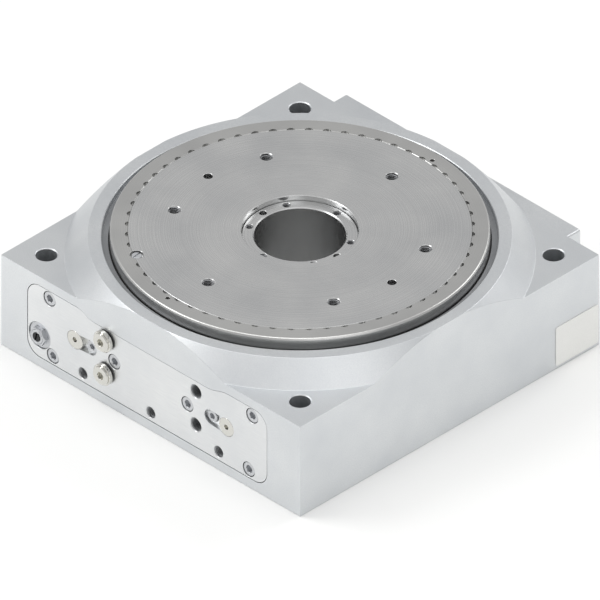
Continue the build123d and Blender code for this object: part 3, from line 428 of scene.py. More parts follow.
def moved(bm: bmesh.types.BMesh, *matrices: Matrix) -> bmesh.types.BMesh:
    """Copies a bmesh once for each matrix.

    Args:
        bm: the shape, which is freed.
        matrices: where each copy goes.

    Returns:
        One bmesh with every copy.
    """
    mesh = bpy.data.meshes.new("copy")
    bm.to_mesh(mesh)
    bm.free()
    made = bmesh.new()
    for matrix in matrices:
        before = len(made.verts)
        made.from_mesh(mesh)
        made.verts.ensure_lookup_table()
        bmesh.ops.transform(made, matrix=matrix, verts=made.verts[before:])
    bpy.data.meshes.remove(mesh)
    return made


def joined(*parts: bmesh.types.BMesh) -> bmesh.types.BMesh:
    """Puts several bmeshes in one.

    Args:
        parts: the shapes, which are freed.

    Returns:
        One bmesh with all of them.
    """
    made = bmesh.new()
    for part in parts:
        mesh = bpy.data.meshes.new("part")
        part.to_mesh(mesh)
        part.free()
        made.from_mesh(mesh)
        bpy.data.meshes.remove(mesh)
    return made


def shift(x: float, y: float, z: float) -> Matrix:
    """Translation in millimetres."""
    return Matrix.Translation((x * MM, y * MM, z * MM))


def to_front(x: float, z: float, y: float) -> Matrix:
    """Places a shape that was made along +Z so that it faces -Y."""
    return shift(x, y, z) @ Matrix.Rotation(math.radians(90), 4, "X")


def to_rear(x: float, z: float, y: float) -> Matrix:
    """Places a shape that was made along +Z so that it faces +Y."""
    return shift(x, y, z) @ Matrix.Rotation(math.radians(-90), 4, "X")


def front_pairs(x_z: Outline | Points, y: float) -> list[Matrix]:
    """Places that face -Y, each followed by its mirror image in X."""
    return [to_front(side * x, z, y) for x, z in x_z for side in (1, -1)]


def on_circle(radius: float, count: int, first_deg: float, z: float) -> list[Matrix]:
    """Places evenly spaced on a circle about the table's axis.

    Args:
        radius: the circle's radius, in millimetres.
        count: how many places.
        first_deg: angle of the first one.
        z: their height.

    Returns:
        The places, each turned to look outwards along its own X.
    """
    angles = [math.radians(first_deg + 360 * k / count) for k in range(count)]
    return [shift(radius * math.cos(a), radius * math.sin(a), z) @ Matrix.Rotation(a, 4, "Z")
            for a in angles]


def as_object(bm: bmesh.types.BMesh, name: str) -> bpy.types.Object:
    """Makes an object of a bmesh.

    Args:
        bm: the shape, which is freed.
        name: the object's name.

    Returns:
        The object, at the origin.
    """
    mesh = bpy.data.meshes.new(name)
    bm.to_mesh(mesh)
    bm.free()
    made = bpy.data.objects.new(name, mesh)
    bpy.context.scene.collection.objects.link(made)
    return made


def as_bmesh(obj: bpy.types.Object) -> bmesh.types.BMesh:
    """Takes the shape of an object.

    Args:
        obj: the object, which is removed.

    Returns:
        Its mesh as a bmesh.
    """
    made = bmesh.new()
    made.from_mesh(obj.data)
    remove(obj)
    return made


def remove(obj: bpy.types.Object) -> None:
    """Removes an object and its mesh.

    Args:
        obj: the object.
    """
    mesh = obj.data
    bpy.data.objects.remove(obj)
    bpy.data.meshes.remove(mesh)


def apply_modifiers(obj: bpy.types.Object) -> None:
    """Applies every modifier of an object to its mesh.

    Args:
        obj: the object.
    """
    bpy.context.view_layer.update()
    evaluated = obj.evaluated_get(bpy.context.evaluated_depsgraph_get())
    mesh = bpy.data.meshes.new_from_object(evaluated)
    old = obj.data
    obj.modifiers.clear()
    obj.data = mesh
    bpy.data.meshes.remove(old)


def carve(obj: bpy.types.Object, *tools: bmesh.types.BMesh, operation: str = "DIFFERENCE") -> None:
    """Cuts an object with closed shapes.

    Args:
        obj: the object to cut.
        tools: the cutting shapes, which are freed; the parts of one tool don't overlap.
        operation: DIFFERENCE or INTERSECT.
    """
    cutters = []
    for tool in tools:
        cutter = as_object(tool, "cutter")
        cut = obj.modifiers.new("cut", "BOOLEAN")
        cut.operation = operation
        cut.solver = "EXACT"
        cut.object = cutter
        cutters.append(cutter)
    apply_modifiers(obj)
    for cutter in cutters:
        remove(cutter)


def soften(obj: bpy.types.Object, width: float, angle_deg: float = SOFT_DEG,
           segments: int = 2) -> None:
    """Rounds the sharp edges of an object.

    Args:
        obj: the object.
        width: how wide the rounding is, in millimetres.
        angle_deg: edges that turn by less stay as they are.
        segments: how many faces make the rounding.
    """
    bevel = obj.modifiers.new("soften", "BEVEL")
    bevel.width = width * MM
    bevel.segments = segments
    bevel.limit_method = "ANGLE"
    bevel.angle_limit = math.radians(angle_deg)
    apply_modifiers(obj)


def weigh_normals(obj: bpy.types.Object) -> None:
    """Lets wide flat faces rule the shading, so that narrow rounded edges don't tint them.

    Args:
        obj: the object, already shaded smooth.
    """
    weigh = obj.modifiers.new("weigh", "WEIGHTED_NORMAL")
    weigh.keep_sharp = True
    apply_modifiers(obj)


@dataclass(frozen=True)
class Seat:
    """Where a finished piece belongs."""

    body: str
    slot: str
    nodes: tuple[str, ...] = ()

    def settle(self, obj: bpy.types.Object, finish: Finish) -> None:
        """Shades, finishes and seats a piece.

        Args:
            obj: the piece, in place.
            finish: its surface.
        """
        obj.data.shade_smooth()
        obj.data.set_sharp_from_angle(angle=SHARP_ANGLE)
        weigh_normals(obj)
        obj.data.materials.clear()
        obj.data.materials.append(finish.material())
        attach(obj, self.body)
        if self.nodes:
            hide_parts(*self.nodes)
        log.info("%s on %s: %d faces", obj.name, self.body, len(obj.data.polygons))


@dataclass(frozen=True)
class Hole:
    """Drilled hole with a chamfered mouth, in millimetres."""

    radius: float
    depth: float
    chamfer: float
    segments: int = SMALL_ROUND

    def tool(self) -> bmesh.types.BMesh:
        """Shape that cuts the hole, its mouth at the origin and its tip towards -Z.

        Returns:
            A closed bmesh.
        """
        mouth = self.radius + self.chamfer
        return lathe([(0, -self.depth), (self.radius, -self.depth), (self.radius, -self.chamfer),
                      (mouth, 0), (mouth, OVERCUT), (0, OVERCUT)], self.segments)


@dataclass(frozen=True)
class Sink:
    """Counterbore for a screw's head with the hole below it, in millimetres."""

    head_r: float
    head_depth: float
    hole_r: float
    depth: float
    chamfer: float = 0.3

    def tool(self) -> bmesh.types.BMesh:
        """Shape that cuts the counterbore, its mouth at the origin and its tip towards -Z.

        Returns:
            A closed bmesh.
        """
        mouth = self.head_r + self.chamfer
        return lathe([(0, -self.depth), (self.hole_r, -self.depth),
                      (self.hole_r, -self.head_depth), (self.head_r, -self.head_depth),
                      (self.head_r, -self.chamfer), (mouth, 0), (mouth, OVERCUT), (0, OVERCUT)],
                     SMALL_ROUND)


@dataclass(frozen=True)
class Thread:
    """Thread of a hole, in millimetres."""

    minor_r: float
    major_r: float
    pitch: float
    length: float
    # Half the ridge's width at its root and at its crest, as shares of the pitch.
    root_share: float = 0.44
    crest_share: float = 0.09
    # How far the root reaches into the wall, so that no gap shows.
    bite: float = 0.03
    steps_per_turn: int = 24

    def ridge(self) -> bmesh.types.BMesh:
        """Helical ridge inside the hole, its upper end at the origin.

        Returns:
            A closed bmesh.
        """
        bm = bmesh.new()
        half, flat = self.pitch * self.root_share, self.pitch * self.crest_share
        root = self.major_r + self.bite
        corners = [(root, -half), (self.minor_r, -flat), (self.minor_r, flat), (root, half)]
        face = bm.faces.new([bm.verts.new((r * MM, 0, (z - self.length) * MM))
                             for r, z in corners])
        turns = (self.length - self.pitch / 2) / self.pitch
        bmesh.ops.spin(bm, geom=[face], cent=(0, 0, 0), axis=(0, 0, 1),
                       dvec=(0, 0, self.pitch * MM / self.steps_per_turn),
                       angle=2 * math.pi * turns, steps=round(self.steps_per_turn * turns))
        bmesh.ops.recalc_face_normals(bm, faces=bm.faces)
        return bm


def countersink(mouth_r: float, depth: float, lift: float,
                segments: int = SMALL_ROUND) -> bmesh.types.BMesh:
    """Cone of 90 degrees that opens a socket's mouth at the origin, depth below and lift above."""
    return lathe([(0, -depth), (mouth_r - depth, -depth), (mouth_r + lift, lift), (0, lift)],
                 segments)


def screwdriver_slot(width: float, depth: float, reach: float = 5.0) -> bmesh.types.BMesh:
    """Shape that cuts a slot along X, from the origin down."""
    half = width / 2
    return prism([(-reach, -half), (reach, -half), (reach, half), (-reach, half)], -depth, OVERCUT)


@dataclass(frozen=True)
class CapScrew:
    """Socket cap screw, in millimetres, with the top of its head at the origin."""

    shank_r: float
    head_r: float
    head_t: float
    flats: float
    length: float
    tip_chamfer: float = 0.4
    # The head's edge is rounded in two chords, which bulge this far from its corner.
    edge: float = 0.5
    bulge: float = 0.15
    socket_share: float = 0.55
    mouth_depth: float = 0.35

    def mesh(self) -> bmesh.types.BMesh:
        """Turned head and shank with a hexagonal socket.

        Returns:
            A closed bmesh.
        """
        tip, neck = -self.head_t - self.length, -self.head_t
        screw = as_object(turned([
            (0, tip, 0), (self.shank_r, tip, self.tip_chamfer), (self.shank_r, neck, 0),
            (self.head_r, neck, 0), (self.head_r, -self.edge, 0),
            (self.head_r - self.bulge, -self.bulge, 0), (self.head_r - self.edge, 0, 0),
            (0, 0, 0)], SMALL_ROUND), "screw")
        carve(screw, prism(hexagon(self.flats), neck * self.socket_share, OVERCUT),
              countersink(corner_reach(self.flats), self.mouth_depth, self.bulge))
        return as_bmesh(screw)


# Sizes that two sub-assemblies share. M6 cap screw: radius of its shank and of its head, height
# of its head, width of its socket. M8 thread: radius at its crest and at its root, and its pitch.
M6_SCREW = (3.0, 5.0, 6.0, 5.0)
M6_SINK = Sink(5.4, 6.5, 3.05, THROUGH)
M8_THREAD = (3.4, 4.0, 1.25)


@dataclass
class PanelShape:
    """Outline of the front panel, in millimetres."""

    left: float = -111.0
    right: float = 105.0
    low: float = 7.5
    high: float = 63.0
    middle: float = 58.8
    corner_r: float = 11.0
    step_left: tuple[float, float] = (-67.0, -51.0)
    step_right: tuple[float, float] = (50.0, 71.0)

    def step(self, outer: float, inner: float) -> list[Corner]:
        """Makes an S-shaped step, from the high edge to the middle one.

        Args:
            outer: X where the step leaves the high edge.
            inner: X where it meets the middle edge.

        Returns:
            Its two soft corners.
        """
        run, drop = abs(inner - outer), self.high - self.middle
        radius = (run ** 2 + drop ** 2) / (4 * drop)
        tangent = radius * math.tan(math.asin(run / 2 / radius) / 2)
        way = math.copysign(tangent, inner - outer)
        return [(outer + way, self.high, radius), (inner - way, self.middle, radius)]

    def outline(self) -> Outline:
        """Joins the four round corners and the two steps.

        Returns:
            The outline in X and Z.
        """
        r = self.corner_r
        right_step = list(reversed(self.step(self.step_right[1], self.step_right[0])))
        corners = [(self.left, self.low, r), (self.left, self.high, r),
                   *self.step(*self.step_left), *right_step,
                   (self.right, self.high, r), (self.right, self.low, r)]
        return rounded(corners)

    def slab(self, back_y: float, front_y: float, grow: float = 0.0) -> bmesh.types.BMesh:
        """Makes the outline a slab between two planes of Y.

        Args:
            back_y: plane of its back.
            front_y: plane of its face.
            grow: how much wider it is on each side.

        Returns:
            A closed bmesh.
        """
        centre = ((self.left + self.right) / 2, (self.low + self.high) / 2)
        width, height = self.right - self.left, self.high - self.low
        scale = ((width + 2 * grow) / width, (height + 2 * grow) / height)
        points = [(centre[0] + (x - centre[0]) * scale[0], centre[1] + (z - centre[1]) * scale[1])
                  for x, z in self.outline()]
        return moved(prism(points, 0, back_y - front_y), to_front(0, 0, back_y))


@dataclass
class Housing:
    """Square aluminium housing with a cone on top, in millimetres."""

    side: float = 270.0
    corner_z: float = 70.0
    top_z: float = 85.0
    cone_r: float = 135.5
    edge: float = 0.9
    hole_r: float = 7.0
    hole_pitch: float = 229.0
    hole_chamfer: float = 0.6
    # Back and front of the tool that sinks the panel, and the joint left round the panel.
    recess_y: tuple[float, float] = (-122.5, -140.0)
    seam: float = 0.3
    # Radius and upper end of each step of the well: base plate, drive, shoulder, bearing, groove
    # of the retaining ring, mouth.
    well_steps: Points = ((120.05, 6.0), (110.0, 62.5), (116.0, 66.5), (126.7, 79.5),
                          (128.7, 81.35), (126.7, 84.5))
    well_chamfer: float = 0.5
    cylinder_r: float = 16.05
    cylinder_y: float = -124.0
    cylinder_length: float = 262.0
    absorber_r: float = 5.05
    absorber_y: float = -125.0
    absorber_length: float = 100.0
    bolt_y: float = 135.0
    bolt_z: float = 54.5
    bolt_steps: Points = ((6.25, -16.0), (9.45, 1.0))
    bolt_depth: float = 30.0

    def mesh(self) -> bpy.types.Object:
        """Trims a block by the cone, then bores it.

        Returns:
            The housing.
        """
        bm = bmesh.new()
        size = Matrix.Diagonal((self.side * MM, self.side * MM, self.top_z * MM, 1.0))
        bmesh.ops.create_cube(bm, size=1.0, matrix=shift(0, 0, self.top_z / 2) @ size)
        body = as_object(bm, "housing_body")
        drop = self.top_z - self.corner_z
        cone = lathe([(0, -OVERCUT), (self.side, -OVERCUT), (self.side, self.corner_z),
                      (self.cone_r + drop, self.corner_z), (self.cone_r, self.top_z),
                      (0, self.top_z)])
        carve(body, cone, operation="INTERSECT")
        soften(body, self.edge)
        carve(body, self.well(), self.corner_holes(), PanelShape().slab(*self.recess_y, self.seam))
        carve(body, self.cross_bores())
        return body

    def well(self) -> bmesh.types.BMesh:
        """Stepped round space for the bearing, the drive and the base plate.

        Returns:
            A closed bmesh.
        """
        profile = stepped(-OVERCUT, self.well_steps)
        mouth_r, top = self.well_steps[-1][0] + self.well_chamfer, self.top_z
        profile[-1:] = [(mouth_r, top), (mouth_r, top + OVERCUT), (0, top + OVERCUT)]
        return lathe(profile)

    def corner_holes(self) -> bmesh.types.BMesh:
        """The four mounting holes with chamfers at both ends.

        Returns:
            A closed bmesh for each.
        """
        r, c, top = self.hole_r, self.hole_chamfer, self.corner_z
        tool = lathe([(0, -OVERCUT), (r + c, -OVERCUT), (r + c, 0), (r, c), (r, top - c),
                      (r + c, top), (r + c, top + OVERCUT), (0, top + OVERCUT)], SMALL_ROUND)
        half = self.hole_pitch / 2
        return moved(tool, *[shift(x, y, 0) for x in (-half, half) for y in (-half, half)])

    def cross_bores(self) -> bmesh.types.BMesh:
        """Bores along Y for the two cylinders, the shock absorber and the lock bolt.

        Returns:
            A closed bmesh for each.
        """
        liners = moved(bar(self.cylinder_r, 0, self.cylinder_length),
                       *[to_rear(x, CYLINDER_Z, self.cylinder_y)
                         for x in (-CYLINDER_X, CYLINDER_X)])
        absorber = moved(bar(self.absorber_r, 0, self.absorber_length),
                         to_rear(ABSORBER_X, ABSORBER_Z, self.absorber_y))
        bolt = moved(lathe(stepped(-self.bolt_depth, self.bolt_steps), SMALL_ROUND),
                     to_rear(0, self.bolt_z, self.bolt_y))
        return joined(liners, absorber, bolt)

    def dress(self) -> None:
        """Gives the housing its finish."""
        Seat("base", "anodised_aluminium", ("housing",)).settle(self.mesh(), CLEAR_ANODISED)


@dataclass
class FrontPanel:
    """Connection panel with its screws, plugs, ports and flow-control screws, in millimetres."""

    face_y: float = FRONT_Y
    back_y: float = -123.0
    edge: float = 0.45
    screw_x_z: Points = ((91.5, 57.0), (88.5, 13.8), (33.0, 37.0))
    screw_sink: Sink = M6_SINK
    screw: CapScrew = CapScrew(*M6_SCREW, 20.0)
    screw_inset: float = 0.5
    port_x: float = 40.6
    port_z: tuple[float, float] = (50.6, 24.7)
    port: Sink = Sink(4.865, 9.5, 2.5, THROUGH, 0.6)
    port_thread: Thread = Thread(4.3, 4.865, 0.907, 8.4)
    port_thread_inset: float = 0.7
    tapped_x: float = 61.3
    tapped_z: float = 14.0
    tapped: Hole = Hole(4.0, 10.0, 0.4)
    tapped_thread: Thread = Thread(*M8_THREAD, 9.0)
    tapped_thread_inset: float = 0.5
    lock_x: float = 54.2
    lock_z: float = 37.5
    lock_sink: Sink = Sink(4.65, 6.5, 2.55, 11.5)
    lock_screw: CapScrew = CapScrew(2.5, 4.25, 5.0, 4.0, 5.0)
    lock_inset: float = 1.5
    absorber_sink: Sink = Sink(9.8, 2.0, 5.05, THROUGH, 0.2)
    # Flow-control screws: chamfers of the tip and the rim, width and depth of the socket.
    flow_bore_r: float = 6.8
    flow_r: float = 6.75
    flow_length: float = 12.0
    flow_chamfers: tuple[float, float] = (2.0, 0.3)
    flow_socket: tuple[float, float] = (3.5, 3.0)
    flow_socket_deg: float = 10.0
    # Recesses: the gap keeps the two arcs at an end from meeting in one point.
    recess_half: float = 5.5
    recess_depth: float = 3.0
    recess_gap: float = 0.01
    # Blanking plugs, with heights from the panel's face: the collar from its lower to its upper
    # end, the boss on it, and the socket in the boss.
    plug_depth: float = 7.5
    plug_play: float = 0.05
    collar_r: float = 7.7
    collar_z: tuple[float, float] = (1.2, 3.8)
    collar_chamfers: tuple[float, float] = (0.2, 0.5)
    boss_r: float = 6.6
    boss_z: float = 5.0
    boss_chamfer: float = 0.4
    plug_flats: float = 5.0
    plug_socket_floor_z: float = 1.0
    plug_mouth_r: float = 2.9
    plug_mouth_depth: float = 0.3
    # Sealing rings: inner and outer radius.
    seal_r: tuple[float, float] = (5.0, 6.9)
    seal_edge: float = 0.3

    def at_ports(self, side: int) -> list[Matrix]:
        """Where the two ports on one side of the panel are."""
        return [to_front(side * self.port_x, z, self.face_y) for z in self.port_z]

    def at_tapped(self, inset: float = 0.0) -> list[Matrix]:
        """Where the three tapped holes are, so far below the panel's face."""
        return [to_front(x, self.tapped_z, self.face_y + inset)
                for x in (-self.tapped_x, 0, self.tapped_x)]

    def mesh(self) -> bpy.types.Object:
        """Makes the panel slab with a chamfered rim and every hole in it.

        Returns:
            The panel.
        """
        y = self.face_y
        panel = as_object(PanelShape().slab(self.back_y, y), "front_panel_body")
        soften(panel, self.edge, RIM_DEG)
        screws = moved(self.screw_sink.tool(), *front_pairs(self.screw_x_z, y))
        ports = moved(self.port.tool(),
                      *front_pairs([(self.port_x, z) for z in self.port_z], y))
        tapped = moved(self.tapped.tool(), *self.at_tapped())
        flow = moved(bar(self.flow_bore_r, -THROUGH, OVERCUT),
                     *front_pairs([(CYLINDER_X, CYLINDER_Z)], y))
        locks = moved(self.lock_sink.tool(), *front_pairs([(self.lock_x, self.lock_z)], y))
        absorber = moved(self.absorber_sink.tool(), to_front(ABSORBER_X, ABSORBER_Z, y))
        carve(panel, joined(screws, ports, tapped, flow, absorber), self.recesses(), locks)
        return panel

    def recesses(self) -> bmesh.types.BMesh:
        """Oblong recesses that run from each flow-control screw to its lock screw.

        Returns:
            A closed bmesh for each.
        """
        run, rise = self.lock_x - CYLINDER_X, self.lock_z - CYLINDER_Z
        turn, end = math.atan2(rise, run), math.hypot(rise, run) + self.recess_half
        half, r = self.recess_half, self.recess_half - self.recess_gap
        shape = rounded([(0, -half, 0), (end, -half, r), (end, half, r), (0, half, 0)])
        made = []
        for side in (1, -1):
            points = [(side * (CYLINDER_X + x * math.cos(turn) - z * math.sin(turn)),
                       CYLINDER_Z + x * math.sin(turn) + z * math.cos(turn)) for x, z in shape]
            made.append(moved(prism(points, -self.recess_depth, OVERCUT),
                              to_front(0, 0, self.face_y)))
        return joined(*made)

    def screws(self) -> bpy.types.Object:
        """The six screws of the panel."""
        places = front_pairs(self.screw_x_z, self.face_y + self.screw_inset)
        return as_object(moved(self.screw.mesh(), *places), "front_panel_socket_screws")

    def lock_screws(self) -> bpy.types.Object:
        """The two small screws that lock the flow-control screws."""
        places = front_pairs([(self.lock_x, self.lock_z)], self.face_y + self.lock_inset)
        return as_object(moved(self.lock_screw.mesh(), *places), "flow_lock_socket_screws")

    def plugs(self) -> bpy.types.Object:
        """Makes the blanking plugs, each with a stepped collar and a hexagonal socket.

        Returns:
            Both plugs.
        """
        r, (low, high) = self.port.head_r - self.plug_play, self.collar_z
        low_edge, high_edge = self.collar_chamfers
        plug = as_object(turned([
            (0, -self.plug_depth, 0), (r, -self.plug_depth, 0), (r, low, 0),
            (self.collar_r, low, low_edge), (self.collar_r, high, high_edge),
            (self.boss_r, high, 0), (self.boss_r, self.boss_z, self.boss_chamfer),
            (0, self.boss_z, 0)], MID_ROUND), "plug")
        mouth = countersink(self.plug_mouth_r, self.plug_mouth_depth, self.plug_mouth_depth,
                            TINY_ROUND)
        carve(plug, prism(hexagon(self.plug_flats), self.plug_socket_floor_z,
                          self.boss_z + OVERCUT),
              moved(mouth, shift(0, 0, self.boss_z)))
        return as_object(moved(as_bmesh(plug), *self.at_ports(-1)), "port_blanking_plugs")

    def plug_seals(self) -> bpy.types.Object:
        """Makes the round sealing rings under the plugs.

        Returns:
            Both rings.
        """
        (inner, outer), thick, edge = self.seal_r, self.collar_z[0], self.seal_edge
        ring = turned([(inner, 0, 0), (outer, 0, edge), (outer, thick, edge), (inner, thick, 0)],
                      MID_ROUND)
        return as_object(moved(ring, *self.at_ports(-1)), "port_plug_sealing_rings")

    def flow_screw(self, side: int) -> bpy.types.Object:
        """Makes a flush flow-control screw with a small hexagonal socket.

        Args:
            side: 1 for the right one, -1 for the left one.

        Returns:
            The screw.
        """
        place = to_front(side * CYLINDER_X, CYLINDER_Z, self.face_y)
        tip, rim = self.flow_chamfers
        flats, depth = self.flow_socket
        shape = turned([(0, -self.flow_length, 0), (self.flow_r, -self.flow_length, tip),
                        (self.flow_r, 0, rim), (0, 0, 0)], MID_ROUND)
        name = "flow_control_screw_right" if side > 0 else "flow_control_screw_left"
        screw = as_object(moved(shape, place), name)
        carve(screw, moved(prism(hexagon(flats, self.flow_socket_deg), -depth, OVERCUT), place))
        return screw

    def threads(self) -> bpy.types.Object:
        """Makes the thread ridges of the tapped holes and of the open ports.

        Returns:
            All of them.
        """
        tapped = moved(self.tapped_thread.ridge(), *self.at_tapped(self.tapped_thread_inset))
        inset = shift(0, self.port_thread_inset, 0)
        ports = moved(self.port_thread.ridge(), *[inset @ place for place in self.at_ports(1)])
        return as_object(joined(tapped, ports), "panel_threads")

    def dress(self) -> None:
        """Builds and finishes the panel and all that is on it."""
        anodised, zinc, nickel = "anodised_aluminium", "zinc_plated_steel", "nickel_plated_brass"
        Seat("base", anodised, ("front_panel",)).settle(self.mesh(), MILLED_ANODISED)
        Seat("base", anodised).settle(self.threads(), SHADED_THREAD_ALUMINIUM)
        Seat("base", zinc, ("front_panel_screws",)).settle(self.screws(), ZINC_PLATED)
        Seat("base", zinc, ("flow_lock_screws",)).settle(self.lock_screws(), ZINC_PLATED)
        Seat("base", nickel, ("port_plugs",)).settle(self.plugs(), NICKEL_BRASS)
        Seat("base", "black_rubber", ("port_plug_seals",)).settle(self.plug_seals(), NITRILE)
        for side, word in ((1, "right"), (-1, "left")):
            seat = Seat(f"{word}_flow_screw", nickel, (f"flow_screw_{word}",))
            seat.settle(self.flow_screw(side), NICKEL_BRASS)


@dataclass
class Table:
    """Round table, preload ring and the slotted screw between them, in millimetres."""

    # The plate: its hub, the web between hub and rim, and the flange that rests on the bearing.
    radius: float = 110.0
    top_z: float = 90.0
    rim_chamfer: float = 0.3
    bore_r: float = 37.5
    bore_chamfer: float = 0.5
    hub_r: float = 57.0
    web_z: float = 72.0
    rim_r: float = 94.0
    low_z: float = 60.0
    seat_r: float = 108.0
    seat_z: float = 63.5
    flange_r: float = 114.0
    flange_z: float = 66.5
    hole_circle_r: float = 83.0
    tapped: Hole = Hole(4.0, 15.0, 0.5)
    dowel: Hole = Hole(3.0, 12.0, 0.3)
    thread: Thread = Thread(*M8_THREAD, 13.0)
    thread_inset: float = 0.5
    # The preload ring.
    ring_r: float = 121.6
    ring_play: float = 0.05
    ring_low_z: float = 79.5
    ring_seat_r: float = 117.4
    ring_rim_z: float = 80.6
    ring_chamfer: float = 0.3
    ring_edge_r: float = 1.6
    ring_edge_steps: int = 6
    ring_segments: int = 360
    notches: int = 60
    notch_r: float = 2.9
    notch_reach: float = 2.0
    notch_depth: float = 2.0
    spanner: Hole = Hole(1.5, 5.0, 0.2, TINY_ROUND)
    # Radius, how many, and the angle of the first.
    spanner_circle: tuple[float, int, float] = (113.7, 2, 87.0)
    # The slotted screw, whose slot lies at slot_deg to X.
    lock_circle_r: float = 108.0
    lock_deg: float = 240.0
    lock_sink: Sink = Sink(4.4, 3.4, 2.05, 10.0, 0.25)
    lock_shank_r: float = 2.0
    lock_head_r: float = 3.3
    lock_head_t: float = 2.8
    lock_length: float = 9.4
    lock_edge: float = 0.3
    lock_inset: float = 0.6
    slot_width: float = 1.1
    slot_depth: float = 1.2
    slot_deg: float = 96.0

    def lock_tool(self) -> bmesh.types.BMesh:
        """Sink of the slotted screw, on the joint of table and ring."""
        place = on_circle(self.lock_circle_r, 1, self.lock_deg, self.top_z)
        return moved(self.lock_sink.tool(), *place)

    def plate(self) -> bpy.types.Object:
        """Makes the table itself, with a flange where it rests on the bearing.

        Returns:
            The plate.
        """
        top, low = self.top_z, self.low_z
        plate = as_object(turned([
            (self.bore_r, low, 0), (self.hub_r, low, 0), (self.hub_r, self.web_z, 0),
            (self.rim_r, self.web_z, 0), (self.rim_r, low, 0), (self.seat_r, low, 0),
            (self.seat_r, self.seat_z, 0), (self.flange_r, self.seat_z, 0),
            (self.flange_r, self.flange_z, 0), (self.radius, self.flange_z, 0),
            (self.radius, top, self.rim_chamfer), (self.bore_r, top, self.bore_chamfer)]),
            "rotary_plate_body")
        tapped = moved(self.tapped.tool(), *on_circle(self.hole_circle_r, *TAPPED_CIRCLE, top))
        dowels = moved(self.dowel.tool(), *on_circle(self.hole_circle_r, *DOWEL_CIRCLE, top))
        carve(plate, joined(tapped, dowels, self.lock_tool()))
        return plate

    def threads(self) -> bpy.types.Object:
        """Thread ridges of the six tapped holes."""
        places = on_circle(self.hole_circle_r, *TAPPED_CIRCLE, self.top_z - self.thread_inset)
        return as_object(moved(self.thread.ridge(), *places), "table_threads")

    def ring(self) -> bpy.types.Object:
        """Makes the preload ring with its notches, its spanner holes and a rounded outer edge.

        Returns:
            The ring.
        """
        top, r, inner = self.top_z, self.ring_edge_r, self.radius + self.ring_play
        turns = [math.pi / 2 * k / self.ring_edge_steps for k in range(self.ring_edge_steps + 1)]
        arc = [(self.ring_r - r + r * math.cos(a), top - r + r * math.sin(a), 0) for a in turns]
        ring = as_object(turned([
            (inner, self.ring_low_z, 0), (self.ring_seat_r, self.ring_low_z, 0),
            (self.ring_seat_r, self.ring_rim_z, 0),
            (self.ring_r, self.ring_rim_z, self.ring_chamfer), *arc,
            (inner, top, self.ring_chamfer)], self.ring_segments), "preload_ring_body")
        notch_circle_r = self.radius + self.notch_reach - self.notch_r
        notch = moved(bar(self.notch_r, -self.notch_depth, OVERCUT, TINY_ROUND),
                      *on_circle(notch_circle_r, self.notches, 0, top))
        spanner = moved(self.spanner.tool(), *on_circle(*self.spanner_circle, top))
        carve(ring, joined(notch, spanner, self.lock_tool()))
        return ring

    def lock_screw(self) -> bpy.types.Object:
        """Makes the slotted cheese-head screw.

        Returns:
            The screw.
        """
        turn = Matrix.Rotation(math.radians(self.slot_deg - self.lock_deg), 4, "Z")
        place = on_circle(self.lock_circle_r, 1, self.lock_deg, self.top_z - self.lock_inset)[0]
        shape = turned([
            (0, -self.lock_length, 0), (self.lock_shank_r, -self.lock_length, 0),
            (self.lock_shank_r, -self.lock_head_t, 0), (self.lock_head_r, -self.lock_head_t, 0),
            (self.lock_head_r, 0, self.lock_edge), (0, 0, 0)], SMALL_ROUND)
        screw = as_object(moved(shape, place @ turn), "preload_ring_slotted_screw")
        carve(screw, moved(screwdriver_slot(self.slot_width, self.slot_depth), place @ turn))
        return screw

    def dress(self) -> None:
        """Builds and finishes the turning pieces that show."""
        steel = "ground_steel"
        Seat("table", steel, ("rotary_plate",)).settle(self.plate(), TURNED_STEEL)
        Seat("table", steel).settle(self.threads(), SHADED_THREAD_STEEL)
        Seat("table", steel, ("preload_ring",)).settle(self.ring(), BEARING_STEEL)
        seat = Seat("table", "zinc_plated_steel", ("preload_ring_lock_screw",))
        seat.settle(self.lock_screw(), ZINC_PLATED)


